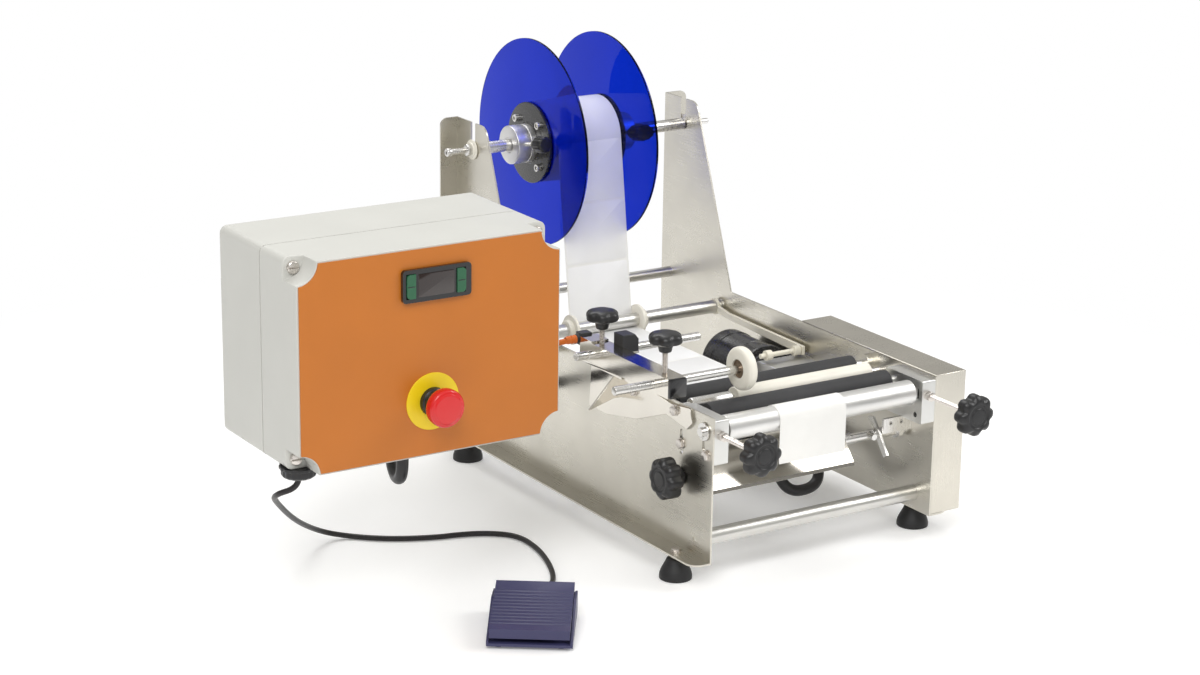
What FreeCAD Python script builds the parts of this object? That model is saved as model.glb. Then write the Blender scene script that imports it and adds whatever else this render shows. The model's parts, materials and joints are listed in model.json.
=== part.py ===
import FreeCAD, Part
import math
import os
import Sketcher
from FreeCAD import Placement, Rotation, Vector

# Bottle labelling machine.
# Machine frame: x = 0 at the left plate's outer face and grows to the right, y = 0 at the plates' front
# edge and grows to the rear, z = 0 at the underside of the plates' flanges. The row frame has its origin
# on the table, under the axis of the front left foot.

SIZES = [
    # frame
    ("plate", 2.0), ("frame_width", 300.0), ("frame_depth", 548.0), ("plate_height", 164.0),
    ("tower_height", 384.5), ("tower_foot", 396.0), ("tower_top", 69.0), ("flange_width", 22.0),
    ("right_flange", 28.0), ("flange_corner", 14.0), ("tower_corner", 9.0), ("tower_round", 16.0),
    # feet
    ("foot_height", 28.0), ("foot_base", 36.0), ("foot_crown", 20.0), ("foot_setback", 48.0),
    ("foot_nut", 5.0), ("bolt", 6.0), ("hex_width", 10.0), ("hex_height", 4.0),
    # cross members
    ("tube_diameter", 18.0), ("tube_setback", 30.0), ("tube_level", 19.5),
    ("tie_diameter", 13.0), ("tie_setback", 530.0), ("tie_level", 158.5),
    # drive cover
    ("cover_width", 41.0), ("cover_depth", 250.0), ("cover_sheet", 1.5),
    # bearing blocks and rollers
    ("block_width", 18.0), ("block_depth", 66.0), ("block_foot", 111.0), ("block_height", 50.0),
    ("feed_setback", 16.0), ("feed_level", 145.5), ("feed_diameter", 28.0), ("feed_length", 250.0),
    ("feed_wall", 3.0), ("feed_axle", 8.0), ("feed_forward", 2.0), ("feed_back", 6.0),
    ("slider_length", 14.0), ("slider_height", 12.0), ("slide_gap", 0.2),
    ("grip_diameter", 25.0), ("grip_length", 243.0), ("grip_level", 148.0), ("grip_front", 56.0),
    ("grip_rear", 120.0), ("grip_shaft", 10.0), ("boss_diameter", 22.0), ("boss_length", 8.0),
    ("idler_diameter", 23.0), ("idler_length", 184.0), ("idler_setback", 88.0), ("idler_level", 149.5),
    ("idler_axle", 8.0), ("sleeve_diameter", 16.0),
    ("knob_rod", 6.0), ("knob_reach", 54.0), ("knob_depth", 18.0), ("knob_diameter", 47.0),
    ("knob_level", 143.5),
    # drive
    ("motor_diameter", 74.0), ("motor_length", 90.0), ("motor_start", 258.0), ("motor_level", 99.5),
    ("gearbox_depth", 62.0), ("gearbox_width", 60.0), ("gearbox_height", 58.0),
    ("drive_setback", 226.0), ("drive_level", 94.0), ("drive_shaft_size", 14.0),
    ("pulley", 26.0), ("pulley_width", 10.0), ("pulley_offset", 8.0),
    ("belt", 2.0), ("belt_gap", 0.3), ("belt_width", 8.0),
    # peel plate
    ("hanger_setback", 53.2), ("hanger_level", 89.0), ("hanger_diameter", 12.0),
    ("peel_width", 190.0),
    # web path
    ("guide_diameter", 16.0), ("guide_setback", 420.0), ("guide_level", 141.3),
    ("ring_diameter", 36.0), ("ring_width", 10.0), ("web_width", 88.0), ("web_start", 88.0),
    ("web_sheet", 0.4), ("web_gap", 0.3), ("web_end", 98.0), ("web_lead", 3.0),
    ("arm_bar", 4.0), ("arm_eye", 20.0), ("feeler_setback", 241.0), ("feeler_level", 133.0),
    ("feeler_diameter", 6.0), ("feeler_length", 60.0),
    # reel
    ("reel_setback", 507.5), ("reel_level", 352.5), ("reel_start", 80.0), ("disc_diameter", 248.0),
    ("disc_sheet", 3.0), ("roll_length", 94.0), ("roll_diameter", 96.0), ("core_bore", 76.0),
    ("axle_diameter", 14.5), ("journal", 7.0), ("bush_diameter", 10.0), ("bush_flange", 24.0),
    ("bush_rim", 4.0), ("collar_diameter", 46.0), ("collar_length", 27.0), ("hub_diameter", 97.0),
    ("hub_flange", 4.0), ("hub_spigot", 12.0), ("collar_knob", 20.0), ("collar_knob_tilt", 10.0),
    # control box
    ("box_width", 300.0), ("box_height", 220.0), ("box_right", 148.0), ("box_front", 70.0),
    ("box_level", 155.0), ("lid_depth", 82.0), ("body_depth", 91.0), ("box_wall", 4.0),
    ("box_corner", 8.0), ("notch", 22.5), ("notch_depth", 30.0), ("lid_pillar", 28.0),
    ("seam", 1.0), ("panel_sheet", 1.5), ("lid_screw", 13.0), ("lid_screw_inset", 11.0),
    ("bezel_width", 78.0), ("bezel_height", 34.0), ("bezel_depth", 4.5), ("bezel_left", 334.0),
    ("bezel_level", 320.0), ("key_width", 10.0), ("key_height", 25.0), ("left_key_inset", 4.1),
    ("right_key_inset", 6.8), ("key_depth", 4.5), ("key_proud", 1.5), ("key_corner", 4.0),
    ("stop_left", 298.5), ("stop_level", 213.0), ("stop_collar", 30.0), ("stop_stem", 18.0),
    ("stop_head", 40.0), ("stop_legend", 60.0), ("stop_legend_sheet", 1.0), ("stop_head_depth", 14.0),
    ("stop_travel", 6.0), ("stop_reach", 35.0),
    ("gland_setback", 40.0), ("gland_drop", 12.0), ("gland_rim", 3.0),
    ("pedal_gland", 429.0), ("hose_gland", 311.0), ("spare_gland", 238.0),
    ("shelf_sheet", 3.0),
    # arm on the left plate
    ("square", 22.0), ("square_wall", 2.0), ("square_length", 175.0), ("square_front", 35.0),
    ("square_level", 181.5), ("square_right", 13.0), ("arm_sheet", 3.0), ("cap_depth", 3.0),
    ("rod_diameter", 9.5), ("wheel_rod_setback", 58.0), ("wheel_rod_left", 88.0),
    ("wheel_rod_length", 170.0), ("sensor_rod_setback", 182.0), ("sensor_rod_left", 58.0),
    ("sensor_rod_length", 162.0), ("wheel_diameter", 48.0), ("wheel_width", 12.0), ("wheel_recess", 21.0),
    ("clamp_knob", 38.0), ("clamp_neck", 17.0), ("clamp_depth", 13.0), ("clamp_stud", 6.0),
    ("rear_clamp_reach", 38.5), ("front_clamp_reach", 45.0),
    ("lock_setback", 57.0), ("lock_level", 84.0), ("lock_reach", 30.0),
    # cords and hose
    ("hose_diameter", 13.0), ("cord_diameter", 6.0), ("sensor_cord", 6.4),
    # pedal
    ("pedal_width", 88.0), ("pedal_length", 100.0), ("treadle_width", 82.0),
    ("pedal_base_sheet", 3.0), ("pedal_left", 221.5), ("pedal_front", 2.3), ("pedal_turn", 34.7),
    ("treadle_front", 23.5), ("treadle_back", 37.0), ("treadle_lip", 12.0), ("pin_back", 17.0),
    ("pin_level", 18.0), ("pin_diameter", 4.0), ("rib_pitch", 6.5), ("rib_depth", 1.2),
    # clearances
    ("running", 0.05), ("clearance", 0.3),
]

doc = FreeCAD.newDocument("labelling_machine")
sheet = doc.addObject("Spreadsheet::Sheet", "sizes")
for row, (alias, number) in enumerate(SIZES, start=1):
    sheet.set(f"A{row}", alias)
    sheet.set(f"B{row}", str(number))
    sheet.setAlias(f"B{row}", alias)
doc.recompute()


class Size:
    """A length: its value, and the sheet expression that gives it."""

    def __init__(self, value, text):
        self.value = value
        self.text = text

    def join(self, other, sign, value, swap=False):
        """Return the size that an operator makes of this one and another."""
        first, second = (other, self) if swap else (self, other)
        return Size(value, f"({first.text} {sign} {second.text})")

    def __add__(self, other):
        other = as_size(other)
        return self.join(other, "+", self.value + other.value)

    def __sub__(self, other):
        other = as_size(other)
        return self.join(other, "-", self.value - other.value)

    def __mul__(self, other):
        other = as_size(other)
        return self.join(other, "*", self.value * other.value)

    def __truediv__(self, other):
        other = as_size(other)
        return self.join(other, "/", self.value / other.value)

    def __radd__(self, other):
        return as_size(other) + self

    def __rsub__(self, other):
        return as_size(other) - self

    def __rmul__(self, other):
        return as_size(other) * self

    def __neg__(self):
        return as_size(0) - self


def as_size(number):
    return number if isinstance(number, Size) else Size(float(number), f"{float(number):.6f}")


class Sizes:
    """Gives each of the sheet's aliases as a Size."""

    def __getattr__(self, alias):
        return Size(float(sheet.get(alias)), f"sizes.{alias}")


S = Sizes()
TURNS = {
    "+Z": Rotation(), "-Z": Rotation(Vector(1, 0, 0), 180),
    "+X": Rotation(Vector(0, 1, 0), 90), "-X": Rotation(Vector(0, 1, 0), -90),
    "+Y": Rotation(Vector(1, 0, 0), -90), "-Y": Rotation(Vector(1, 0, 0), 90),
}
NODES = []


def v(number):
    """Return a size's plain value in millimetres."""
    return as_size(number).value


def bind(thing, name, size):
    """Set one property from a size, and tie it to the sheet."""
    size = as_size(size)
    thing.setExpression(name, size.text)


def place(thing, at, turn="+Z", local=False):
    """Put an object at a point of the machine frame, or of its own assembly's, with its Z axis along turn."""
    rotation = TURNS[turn] if isinstance(turn, str) else turn
    x, y, z = at
    shifted = at if local else (S.flange_width / 2 + x, y - S.foot_setback, S.foot_height + z)
    thing.Placement = Placement(Vector(*(v(part) for part in shifted)), rotation)
    for axis, part in zip("xyz", shifted):
        bind(thing, f"Placement.Base.{axis}", part)
    return thing


def block(at, lengths, local=False):
    """Return a box from its lowest corner."""
    thing = doc.addObject("Part::Box", "block")
    for name, size in zip(("Length", "Width", "Height"), lengths):
        bind(thing, name, size)
    return place(thing, at, local=local)


def rod(at, turn, length, diameter, local=False):
    """Return a cylinder from its first end's centre, along turn."""
    thing = doc.addObject("Part::Cylinder", "rod")
    bind(thing, "Height", length)
    bind(thing, "Radius", as_size(diameter) / 2)
    return place(thing, at, turn, local)


def hexagon(at, turn, length, width):
    """Return a hexagonal prism, width across its flats."""
    thing = doc.addObject("Part::Prism", "hexagon")
    thing.Polygon = 6
    bind(thing, "Circumradius", as_size(width) / math.sqrt(3))
    bind(thing, "Height", length)
    return place(thing, at, turn)


def fuse(*things):
    thing = doc.addObject("Part::MultiFuse", "fusion")
    thing.Shapes = list(things)
    return thing


def cut(base, *tools):
    thing = doc.addObject("Part::Cut", "cut")
    thing.Base = base
    thing.Tool = tools[0] if len(tools) == 1 else fuse(*tools)
    return thing


def group(*things):
    thing = doc.addObject("Part::Compound", "group")
    thing.Links = list(things)
    return thing


def node(name, thing):
    """Name an object as one of the machine's sub-parts."""
    thing.Label = name
    NODES.append(thing)
    return thing


def origin_plane(body, role):
    return next(item for item in body.Origin.OriginFeatures if item.Role == role)


def outline(body, plane, points):
    """Return a closed sketch of straight lines, each corner tied to the sheet."""
    sketch = body.newObject("Sketcher::SketchObject", "outline")
    sketch.AttachmentSupport = [(origin_plane(body, plane), "")]
    sketch.MapMode = "FlatFace"
    corners = [Vector(v(across), v(up), 0) for across, up in points]
    count = len(corners)
    for index in range(count):
        sketch.addGeometry(Part.LineSegment(corners[index], corners[(index + 1) % count]))
    for index in range(count):
        sketch.addConstraint(Sketcher.Constraint("Coincident", index, 2, (index + 1) % count, 1))
    for index, (across, up) in enumerate(points):
        for kind, axis, size in (("DistanceX", -2, across), ("DistanceY", -1, up)):
            if abs(v(size)) < 1e-9:
                sketch.addConstraint(Sketcher.Constraint("PointOnObject", index, 1, axis))
                continue
            number = sketch.addConstraint(Sketcher.Constraint(kind, -1, 1, index, 1, v(size)))
            bind(sketch, f"Constraints[{number}]", size)
    return sketch


def prism(at, plane, points, length, turn="+Z", local=False):
    """Return a body padded from a corner outline, along the plane's normal."""
    body = doc.addObject("PartDesign::Body", "prism")
    pad = body.newObject("PartDesign::Pad", "pad")
    pad.Profile = outline(body, plane, points)
    bind(pad, "Length", length)
    body.Tip = pad
    return place(body, at, turn, local)


def turned(at, turn, profile):
    """Return a body revolved about turn from (distance along it, radius) corners."""
    body = doc.addObject("PartDesign::Body", "turned")
    sketch = outline(body, "XZ_Plane", [(radius, along) for along, radius in profile])
    revolution = body.newObject("PartDesign::Revolution", "revolution")
    revolution.Profile = sketch
    revolution.ReferenceAxis = (sketch, ["V_Axis"])
    revolution.Angle = 360
    body.Tip = revolution
    return place(body, at, turn)


def rounded(body, radius, choose):
    """Fillet the edges of a body's tip that choose accepts."""
    doc.recompute()
    tip = body.Tip
    names = [f"Edge{n}" for n, edge in enumerate(tip.Shape.Edges, start=1) if choose(edge)]
    fillet = body.newObject("PartDesign::Fillet", "fillet")
    fillet.Base = (tip, names)
    bind(fillet, "Radius", radius)
    body.Tip = fillet
    return body


def along(edge, axis):
    """Tell whether an edge is straight and parallel to an axis of its body."""
    if edge.Curve.TypeId != "Part::GeomLine":
        return False
    return abs(abs(edge.Curve.Direction.dot(axis)) - 1) < 1e-6


def from_shape(shape, at):
    """Return a plain feature that holds a shape, placed in the machine frame."""
    thing = doc.addObject("Part::Feature", "swept")
    thing.Shape = shape
    return place(thing, at)


def tangent_arc(first, corner, last):
    """Return the start, middle and end of the arc that rounds one corner of a route, and its radius."""
    into = (corner - first).normalize()
    out = (last - corner).normalize()
    turn = into.getAngle(out)
    radius = 0.45 * min((corner - first).Length, (last - corner).Length) / math.tan(turn / 2)
    reach = radius * math.tan(turn / 2)
    bisector = (out - into).normalize()
    middle = corner + bisector * (radius / math.cos(turn / 2) - radius)
    return corner - into * reach, middle, corner + out * reach, radius


def cable(label, route, diameter):
    """Return a round cord of straight runs and tangent arcs through a hand-picked route."""
    points = [Vector(*(v(part) for part in point)) for point in route]
    edges, start, radii = [], points[0], []
    for first, corner, last in zip(points, points[1:], points[2:]):
        begin, middle, end, radius = tangent_arc(first, corner, last)
        edges.append(Part.LineSegment(start, begin).toShape())
        edges.append(Part.Arc(begin, middle, end).toShape())
        radii.append(radius)
        start = end
    edges.append(Part.LineSegment(start, points[-1]).toShape())
    path = Part.Wire(edges)
    ring = Part.Circle(points[0], points[1] - points[0], v(diameter) / 2).toShape()
    solid = path.makePipeShell([Part.Wire([ring])], True, False)
    expected = math.pi * (v(diameter) / 2) ** 2 * path.Length
    print(f"{label}: length {path.Length:.1f}, least radius {min(radii):.1f}, "
          f"volume ratio {solid.Volume / expected:.4f}")
    print("   radii", " ".join(f"{radius:.0f}" for radius in radii))
    return from_shape(solid, (0, 0, 0))


def strap_edge(circles, shift, closed, end_level=None, lead=0.0):
    """Return the edges of a strap that runs round circles, shifted to the left of its travel.

    Each circle is (y, z, radius, side): side is +1 where the strap turns anticlockwise round it.
    An open strap starts a lead past its first point of contact.
    """
    rings = [(complex(y, z), radius - side * shift, side) for y, z, radius, side in circles]
    pairs = list(zip(rings, rings[1:] + rings[:1])) if closed else list(zip(rings, rings[1:]))
    runs = []
    for (centre, radius, side), (next_centre, next_radius, next_side) in pairs:
        gap = next_centre - centre
        across = next_side * next_radius - side * radius
        reach = math.sqrt(abs(gap) ** 2 - across ** 2)
        heading = gap / complex(reach, across)
        left = heading * 1j
        runs.append((centre - side * radius * left, next_centre - next_side * next_radius * left))
    begin, end = runs[0]
    runs[0] = (begin + (end - begin) / abs(end - begin) * lead, end)
    if not closed:
        centre, radius, side = rings[-1]
        runs.append((centre - side * radius, complex((centre - side * radius).real, end_level)))
    edges = []
    for number, run in enumerate(runs):
        edges.append(Part.LineSegment(*(Vector(0, end.real, end.imag) for end in run)).toShape())
        if number + 1 == len(runs) and not closed:
            break
        after = runs[(number + 1) % len(runs)][0]
        centre, radius, side = rings[(number + 1) % len(rings)]
        first, last = (run[1] - centre), (after - centre)
        sweep = math.atan2((last / first).imag, (last / first).real) * side % (2 * math.pi)
        half = first * complex(math.cos(sweep / 2), math.sin(sweep / 2) * side)
        points = [centre + part for part in (first, half, last)]
        edges.append(Part.Arc(*(Vector(0, point.real, point.imag) for point in points)).toShape())
    return edges


def around(at, turn, radius, count, first=0.0):
    """Return points spaced evenly on a circle about an axis."""
    x, y, z = at
    points = []
    for index in range(count):
        angle = math.radians(first + 360 * index / count)
        across, up = radius * math.cos(angle), radius * math.sin(angle)
        offset = {"X": (0, across, up), "Y": (across, 0, up), "Z": (across, up, 0)}[turn[1]]
        points.append((x + offset[0], y + offset[1], z + offset[2]))
    return points


def lobed_knob(at, turn, depth, diameter, lobes=8):
    """Return a knob with scallops round its rim, from the centre of its lower face."""
    radius = diameter / 2
    edge = depth / 6
    disc = turned(at, turn, [
        (0, 0), (0, radius - edge), (edge, radius), (depth - edge, radius), (depth, radius - edge),
        (depth, 0)])
    scallop = diameter / 5
    places = around(at, turn, radius + scallop / 4, lobes)
    return cut(disc, *(rod(spot, turn, depth, scallop) for spot in places))


def rectangle(width, height):
    return [(0, 0), (width, 0), (width, height), (0, height)]


def on_edge(edge, axis, **limits):
    """Tell whether an edge runs along an axis at given places of its bounding box."""
    box = edge.BoundBox
    return along(edge, axis) and all(
        abs(getattr(box, name) - value) < 1e-3 for name, value in limits.items())


X, Y, Z = Vector(1, 0, 0), Vector(0, 1, 0), Vector(0, 0, 1)
INNER = S.frame_width - S.plate
TWICE = S.plate * 2


# ---- frame ----
def upright_slot(x, y, low, high, width):
    """Return a cutter for a slot with round ends through a side plate."""
    body = block((x, y - width / 2, low), (TWICE, width, high - low))
    return fuse(body, rod((x, y, low), "+X", TWICE, width), rod((x, y, high), "+X", TWICE, width))


def side_plate(name, wall, flange, wide, boss, bolt_holes, holes):
    """Make one side plate: wall with reel tower, flanges, roller boss, slots and holes."""
    sheet_body = prism((wall, 0, 0), "YZ_Plane", [
        (0, 0), (S.frame_depth, 0), (S.frame_depth, S.tower_height),
        (S.frame_depth - S.tower_top, S.tower_height), (S.tower_foot, S.plate_height),
        (0, S.plate_height)], S.plate)
    rounded(sheet_body, S.tower_round, lambda edge: on_edge(
        edge, X, YMax=v(S.frame_depth - S.tower_top), ZMax=v(S.tower_height)))
    bottom = prism((flange, 0, 0), "XY_Plane", rectangle(wide, S.frame_depth), S.plate)
    outer = 0 if v(flange) < 0 else v(wide)
    rounded(bottom, S.flange_corner, lambda edge: on_edge(edge, Z, XMax=outer, YMax=0))
    rear = prism((flange, S.frame_depth, 0), "XZ_Plane", rectangle(wide, S.tower_height),
                 S.plate)
    rounded(rear, S.tower_corner, lambda edge: on_edge(edge, Y, XMax=outer, ZMax=v(S.tower_height)))
    hub = rod((boss, S.grip_rear, S.grip_level), "+X", S.boss_length, S.boss_diameter)
    start = wall - S.plate / 2
    slack = S.running * 2
    seat = S.bush_diameter + slack
    axle = S.feed_axle + S.clearance * 2
    tools = [
        rod((start, S.reel_setback, S.reel_level), "+X", TWICE, seat),
        block((start, S.reel_setback - seat / 2, S.reel_level), (TWICE, seat, S.tower_height)),
        block((start, S.feed_setback - S.feed_forward, S.feed_level - axle / 2),
              (TWICE, S.feed_forward + S.feed_back, axle)),
        rod((start, S.feed_setback - S.feed_forward, S.feed_level), "+X", TWICE, axle),
        rod((start, S.feed_setback + S.feed_back, S.feed_level), "+X", TWICE, axle),
    ]
    for setback, level in bolt_holes:
        tools.append(rod((start, setback, level), "+X", TWICE, S.bolt + slack))
    middle = flange + wide / 2
    for setback in (S.foot_setback, S.frame_depth - S.foot_setback):
        tools.append(rod((middle, setback, -S.plate), "+Z", TWICE * 2, S.bolt + slack))
    return node(name, cut(fuse(sheet_body, bottom, rear, hub), *tools, *holes))


BLOCK_BOLTS = [(11, 120), (59, 120)]
ARM_BOLTS = [(68, 155), (148, 155)]
BRACKET_BOLTS = [(345, 136), (375, 136)]
left_holes = [
    rod((-S.plate / 2, S.tube_setback, S.tube_level), "+X", TWICE, S.bolt),
    upright_slot(-S.plate / 2, 17, 126, 133, 5),
    upright_slot(-S.plate / 2, 59, 111, 133, 6.1),
    rod((-S.plate / 2, 335, 110), "+X", TWICE, S.hose_diameter + 4),
    rod((-S.plate / 2, S.lock_setback, S.lock_level), "+X", TWICE, S.bolt + S.running * 2),
    rod((S.plate, S.grip_rear, S.grip_level), "+X", S.boss_length, S.grip_shaft + S.running * 2),
]
right_holes = [
    rod((INNER - S.boss_length, S.grip_rear, S.grip_level), "+X", S.boss_length + TWICE,
        S.grip_shaft + S.running * 2),
    rod((INNER - S.plate / 2, S.grip_front, S.grip_level), "+X", TWICE, S.grip_shaft + 4),
    rod((INNER - S.plate / 2, S.drive_setback, S.drive_level), "+X", TWICE, S.drive_shaft_size + 6),
]
side_plate("left_side_plate", as_size(0), -S.flange_width, S.flange_width, S.plate,
           BLOCK_BOLTS[:1] + ARM_BOLTS + BRACKET_BOLTS, left_holes)
side_plate("right_side_plate", INNER, S.frame_width, S.right_flange, INNER - S.boss_length, BLOCK_BOLTS,
           right_holes)

span = INNER - S.plate
node("cross_tubes", group(
    cut(rod((S.plate, S.tube_setback, S.tube_level), "+X", span, S.tube_diameter),
        rod((S.plate, S.tube_setback, S.tube_level), "+X", span, S.bolt)),
    rod((S.plate, S.tie_setback, S.tie_level), "+X", span, S.tie_diameter)))
node("web_tube", cut(
    rod((S.plate, S.guide_setback, S.guide_level), "+X", span, S.guide_diameter),
    rod((S.plate, S.guide_setback, S.guide_level), "+X", span, S.guide_diameter - TWICE)))

FOOT_SPOTS = [
    (x, y) for x in (-S.flange_width / 2, S.frame_width + S.right_flange / 2)
    for y in (S.foot_setback, S.frame_depth - S.foot_setback)]
tall = S.foot_height - S.foot_nut
wide, top = S.foot_base / 2, S.foot_crown / 2
hole = S.bolt / 2 + S.running
node("rubber_feet", group(*(
    turned((x, y, -S.foot_height), "+Z", [
        (0, 0), (0, wide - 1), (1, wide), (tall / 5, wide), (tall / 2.4, wide - 1.5),
        (tall / 1.6, wide - 4), (tall / 1.2, top + 1.5), (tall, top), (tall, hole), (tall / 2, hole),
        (tall / 2, 0)])
    for x, y in FOOT_SPOTS)))


def hex_bolt(at, turn, length):
    """Return a bolt whose head sits at a point, its shank running back against turn."""
    opposite = {"+": "-", "-": "+"}[turn[0]] + turn[1]
    return fuse(hexagon(at, turn, S.hex_height, S.hex_width), rod(at, opposite, length, S.bolt))


bolts = []
for x, y in FOOT_SPOTS:
    bolts.append(fuse(hex_bolt((x, y, S.plate), "+Z", S.plate + S.foot_nut + tall / 3),
                      hexagon((x, y, -S.foot_nut), "+Z", S.foot_nut, S.hex_width)))
for y, z in BLOCK_BOLTS:
    bolts.append(hex_bolt((as_size(0), as_size(y), as_size(z)), "-X", S.plate + S.block_width / 2))
    bolts.append(hex_bolt((S.frame_width, as_size(y), as_size(z)), "+X", S.plate + S.block_width / 2))
for y, z in ARM_BOLTS + BRACKET_BOLTS:
    bolts.append(hex_bolt((-S.arm_sheet, as_size(y), as_size(z)), "-X", S.plate + S.arm_sheet))
for x in (S.plate + S.block_width / 2, INNER - S.block_width / 2):
    bolts.append(cut(hexagon((x, 0, S.knob_level), "-Y", S.hex_height + 2, S.hex_width),
                     rod((x, 0, S.knob_level), "-Y", S.hex_height + 2, S.knob_rod + S.running * 2)))
node("hex_bolts", group(*bolts))

cover_height = S.plate_height - S.plate + S.cover_sheet
shell = block((INNER, 0, S.plate), (S.cover_width + S.plate, S.cover_depth, cover_height))
inside = block((INNER, S.cover_sheet, S.plate),
               (S.cover_width + S.plate - S.cover_sheet, S.cover_depth - S.cover_sheet * 2,
                cover_height - S.cover_sheet))
rim = block((INNER, 0, 0), (S.plate, S.cover_depth, S.plate_height))
node("drive_cover", cut(shell, inside, rim))


# ---- rollers ----
def bearing_block(x):
    """Return one bearing block, with its slider window, screw hole, shaft bore and bolt holes."""
    lowest = S.feed_level - S.slider_height / 2
    slack = S.running * 2
    body = prism((x, 0, S.block_foot), "YZ_Plane", rectangle(S.block_depth, S.block_height),
                 S.block_width)
    rounded(body, 2, lambda edge: along(edge, X))
    tools = [
        block((x, 6, lowest), (S.block_width, 26, S.slider_height)),
        rod((x + S.block_width / 2, 0, S.knob_level), "+Y", 6, S.knob_rod + slack),
        rod((x, S.grip_front, S.grip_level), "+X", S.block_width, S.grip_shaft + slack)]
    for y, z in BLOCK_BOLTS:
        tools.append(rod((x, as_size(y), as_size(z)), "+X", S.block_width, S.bolt + slack))
    return cut(body, *tools)


node("roller_blocks", group(bearing_block(S.plate), bearing_block(INNER - S.block_width)))

sleeve_end = S.web_start - 5
node("white_roller_axle", fuse(
    rod((S.plate, S.idler_setback, S.idler_level), "+X", span, S.idler_axle),
    rod((30, S.idler_setback, S.idler_level), "+X", sleeve_end - 30, S.sleeve_diameter)))
bore = S.idler_axle / 2 + S.running
half = S.idler_diameter / 2
node("white_roller", turned((sleeve_end + 4, S.idler_setback, S.idler_level), "+X", [
    (0, bore), (0, half - 1), (1, half), (S.idler_length - 1, half), (S.idler_length, half - 1),
    (S.idler_length, bore)]))

bore = S.feed_axle / 2 + S.running
half = S.feed_diameter / 2
hollow = half - S.feed_wall
node("front_roller", turned((24, S.feed_setback, S.feed_level), "+X", [
    (0, bore), (0, half - 1), (1, half), (S.feed_length - 1, half), (S.feed_length, half - 1),
    (S.feed_length, bore), (S.feed_length - 12, bore), (S.feed_length - 12, hollow), (12, hollow),
    (12, bore)]))


def end_fitting(face, turn, slider):
    """Return the slider and the outer washer and screw head at one end of the feed axle."""
    z = S.feed_level - S.slider_height / 2 + S.slide_gap / 2
    return [
        block((slider, S.feed_setback - S.slider_length / 2, z),
              (S.block_width - S.clearance, S.slider_length, S.slider_height - S.slide_gap)),
        rod((face, S.feed_setback, S.feed_level), turn, S.plate, 20),
        rod((face, S.feed_setback, S.feed_level), turn, S.plate + 4, S.hex_width)]


gap = S.clearance
node("roller_carriage", fuse(
    rod((-gap - S.plate, S.feed_setback, S.feed_level), "+X",
        S.frame_width + (gap + S.plate) * 2, S.feed_axle),
    *end_fitting(-gap, "-X", S.plate + gap),
    *end_fitting(S.frame_width + gap, "+X", INNER - S.block_width)))


def adjusting_knob(name, x, reach):
    """Make one lobed knob with its hub and the screw that ends against the slider."""
    tip = S.feed_setback - S.slider_length / 2 - S.clearance
    hub = 8
    node(name, fuse(
        lobed_knob((x, -reach - hub, S.knob_level), "-Y", S.knob_depth, S.knob_diameter),
        rod((x, -reach - hub, S.knob_level), "+Y", hub, S.knob_diameter / 2),
        rod((x, -reach, S.knob_level), "+Y", tip + reach, S.knob_rod)))


adjusting_knob("left_adjust_knob", S.plate + S.block_width / 2, S.knob_reach)
adjusting_knob("right_adjust_knob", INNER - S.block_width / 2, S.knob_reach + 7)


def driven_roller(name, setback):
    """Make one rubber roller with its through shaft and the belt pulley on its right end."""
    start = S.plate + S.clearance
    end = S.frame_width + S.pulley_offset + S.pulley_width + 2
    shaft = S.grip_shaft / 2
    half = S.grip_diameter / 2
    wheel = S.pulley / 2
    first = 30 - start
    last = first + S.grip_length
    drum = S.frame_width + S.pulley_offset - start
    node(name, turned((start, setback, S.grip_level), "+X", [
        (0, 0), (0, shaft), (first, shaft), (first, half), (last, half), (last, shaft),
        (drum, shaft), (drum, wheel), (drum + S.pulley_width, wheel), (drum + S.pulley_width, shaft),
        (end - start, shaft), (end - start, 0)]))


driven_roller("rubber_roller_front", S.grip_front)
driven_roller("rubber_roller_rear", S.grip_rear)

# ---- drive ----
half = S.motor_diameter / 2
node("drive_motor", turned((258, S.motor_start, S.motor_level), "+Y", [
    (0, 0), (0, half - 6), (6, half - 6), (6, half), (14, half), (14, half - 1), (70, half - 1),
    (70, half), (78, half), (S.motor_length - 4, half), (S.motor_length, half - 5),
    (S.motor_length, 0)]))
case = prism((INNER - S.gearbox_width, S.motor_start - S.gearbox_depth, S.drive_level - 28), "YZ_Plane",
             rectangle(S.gearbox_depth, S.gearbox_height), S.gearbox_width)
rounded(case, 8, lambda edge: along(edge, X))
node("worm_gearbox", cut(
    case,
    rod((INNER - S.gearbox_width, S.drive_setback, S.drive_level), "+X", S.gearbox_width,
        S.drive_shaft_size + S.running * 2)))
wheel = S.pulley / 2
shaft = S.drive_shaft_size / 2
start = INNER - S.gearbox_width + 4
drum = S.frame_width + S.pulley_offset - start
node("drive_shaft", turned((start, S.drive_setback, S.drive_level), "+X", [
    (0, 0), (0, shaft), (drum, shaft), (drum, wheel), (drum + S.pulley_width, wheel),
    (drum + S.pulley_width, shaft), (drum + S.pulley_width + 2, shaft),
    (drum + S.pulley_width + 2, 0)]))

reach = v(S.pulley / 2 + S.belt_gap + S.belt / 2)
BELT_PATH = [
    (v(S.grip_front), v(S.grip_level), reach, -1), (v(S.grip_rear), v(S.grip_level), reach, -1),
    (v(S.drive_setback), v(S.drive_level), reach, -1)]
loops = [Part.Wire(Part.sortEdges(strap_edge(BELT_PATH, side * v(S.belt) / 2, True))[0])
         for side in (1, -1)]
belt_solids = [Part.Face(wire).extrude(Vector(v(S.belt_width), 0, 0)) for wire in loops]
node("drive_belt", from_shape(
    belt_solids[0].cut(belt_solids[1]),
    (S.frame_width + S.pulley_offset + (S.pulley_width - S.belt_width) / 2, 0, 0)))

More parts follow.
